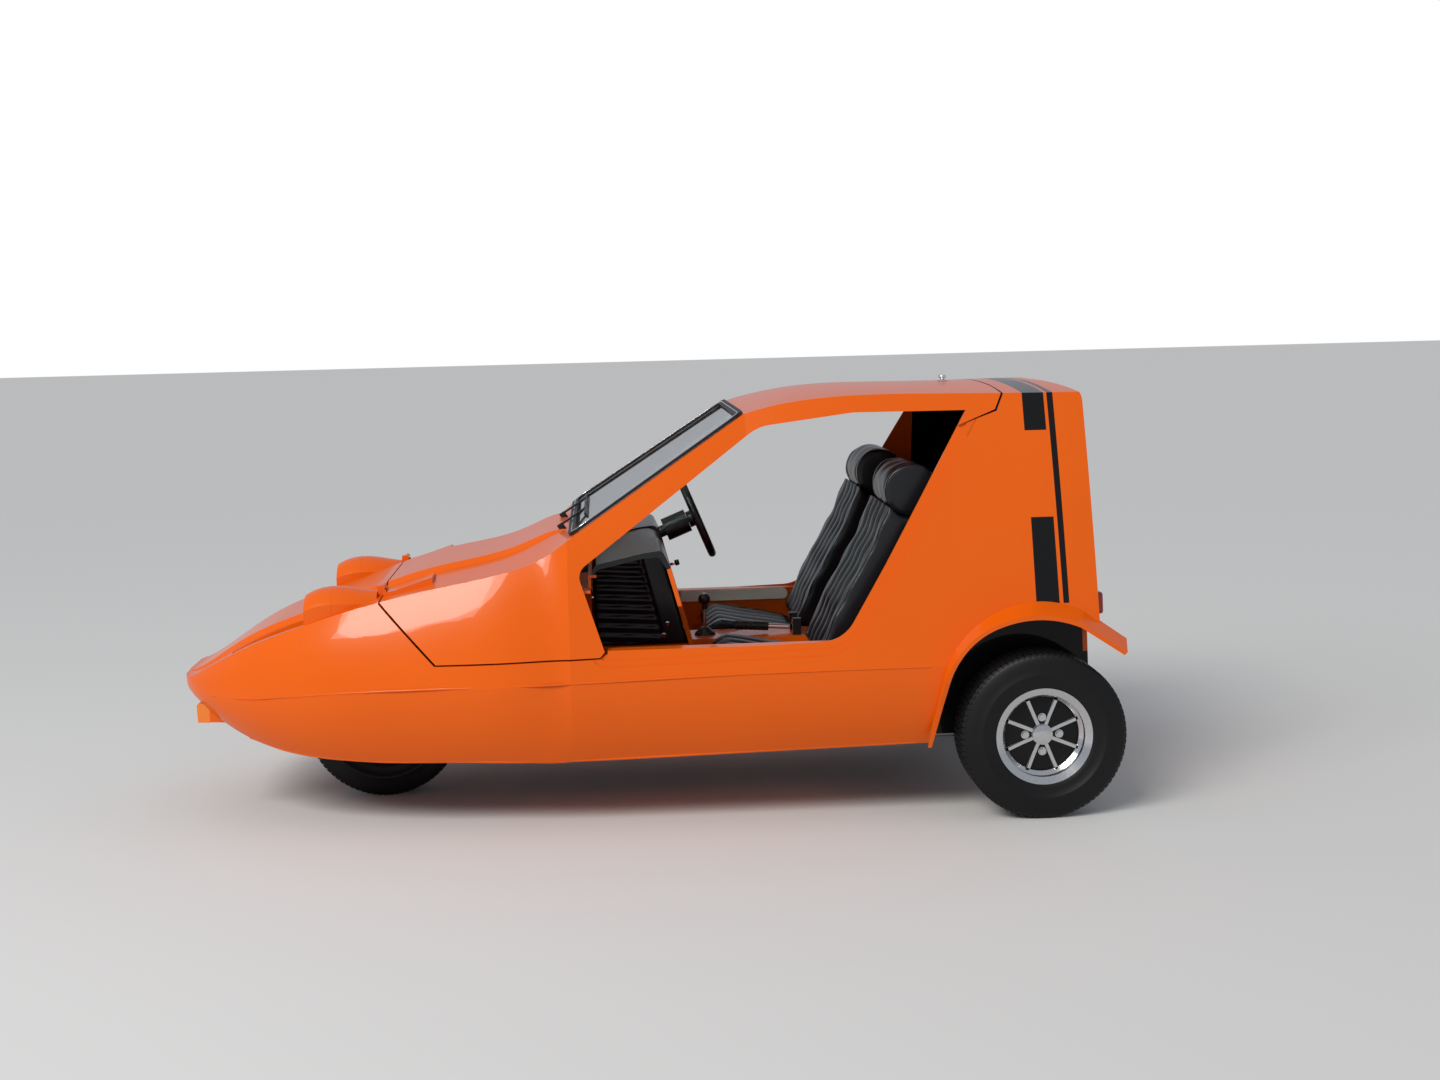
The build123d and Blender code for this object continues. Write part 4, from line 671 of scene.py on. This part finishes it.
ground = {"size": 60, "drop": 0.0005, "colour": "#D2D2D0"}  # pale matt paint on a smooth screed
floorCoat = startMaterial("paleFloor", {"Roughness": 0.9, "Base Color": linear(ground["colour"])})[0]
floorMesh = bmesh.new()
bmesh.ops.create_grid(floorMesh, x_segments=2, y_segments=2, size=ground["size"])
made = bpy.data.meshes.new("floor")
floorMesh.to_mesh(made)
floorMesh.free()
floor = bpy.data.objects.new("floor", made)
floor.location.z = -ground["drop"]
bpy.context.scene.collection.objects.link(floor)
made.materials.append(floorCoat)

world = bpy.data.worlds.new("studio")
bpy.context.scene.world = world
world.use_nodes = True
worldTree = world.node_tree
worldTree.nodes.clear()
sky = {"colour": (0.82, 0.86, 0.94, 1), "strength": 0.52}
path = addNode(worldTree, "ShaderNodeLightPath", {}).outputs
seen = addNode(worldTree, "ShaderNodeMath", {
    "operation": "MAXIMUM", 0: path["Is Camera Ray"], 1: path["Is Transmission Ray"]})
lit = addNode(worldTree, "ShaderNodeBackground", {"Color": sky["colour"], "Strength": sky["strength"]})
shown = addNode(worldTree, "ShaderNodeBackground", {"Color": (1, 1, 1, 1), "Strength": 1.0})
either = addNode(worldTree, "ShaderNodeMixShader", {0: seen, 1: lit, 2: shown})
addNode(worldTree, "ShaderNodeOutputWorld", {"Surface": either})


def pointLamp(lamp, way):  # a lamp object that shines along way
    held = bpy.data.objects.new(lamp.name, lamp)
    bpy.context.scene.collection.objects.link(held)
    held.rotation_mode = "QUATERNION"
    held.rotation_quaternion = Vector(way).to_track_quat("-Z", "Y")
    return held


sun = {"power": 1.6, "angle": 24, "colour": (1.0, 0.96, 0.9), "way": (0.5, 0.66, -0.72)}
sunLight = bpy.data.lights.new("softSun", "SUN")
sunLight.energy = sun["power"]
sunLight.angle = math.radians(sun["angle"])
sunLight.color = sun["colour"]
pointLamp(sunLight, sun["way"])

softbox = {"place": (-3.6, -4.2, 4.4), "aim": (-0.3, 0, 0.5), "size": 2.2, "power": 120}
boxLight = bpy.data.lights.new("softbox", "AREA")
boxLight.size = softbox["size"]
boxLight.energy = softbox["power"]
box = pointLamp(boxLight, Vector(softbox["aim"]) - Vector(softbox["place"]))
box.location = softbox["place"]
print("stage lit")

bpy.context.scene.view_settings.view_transform = "Standard"
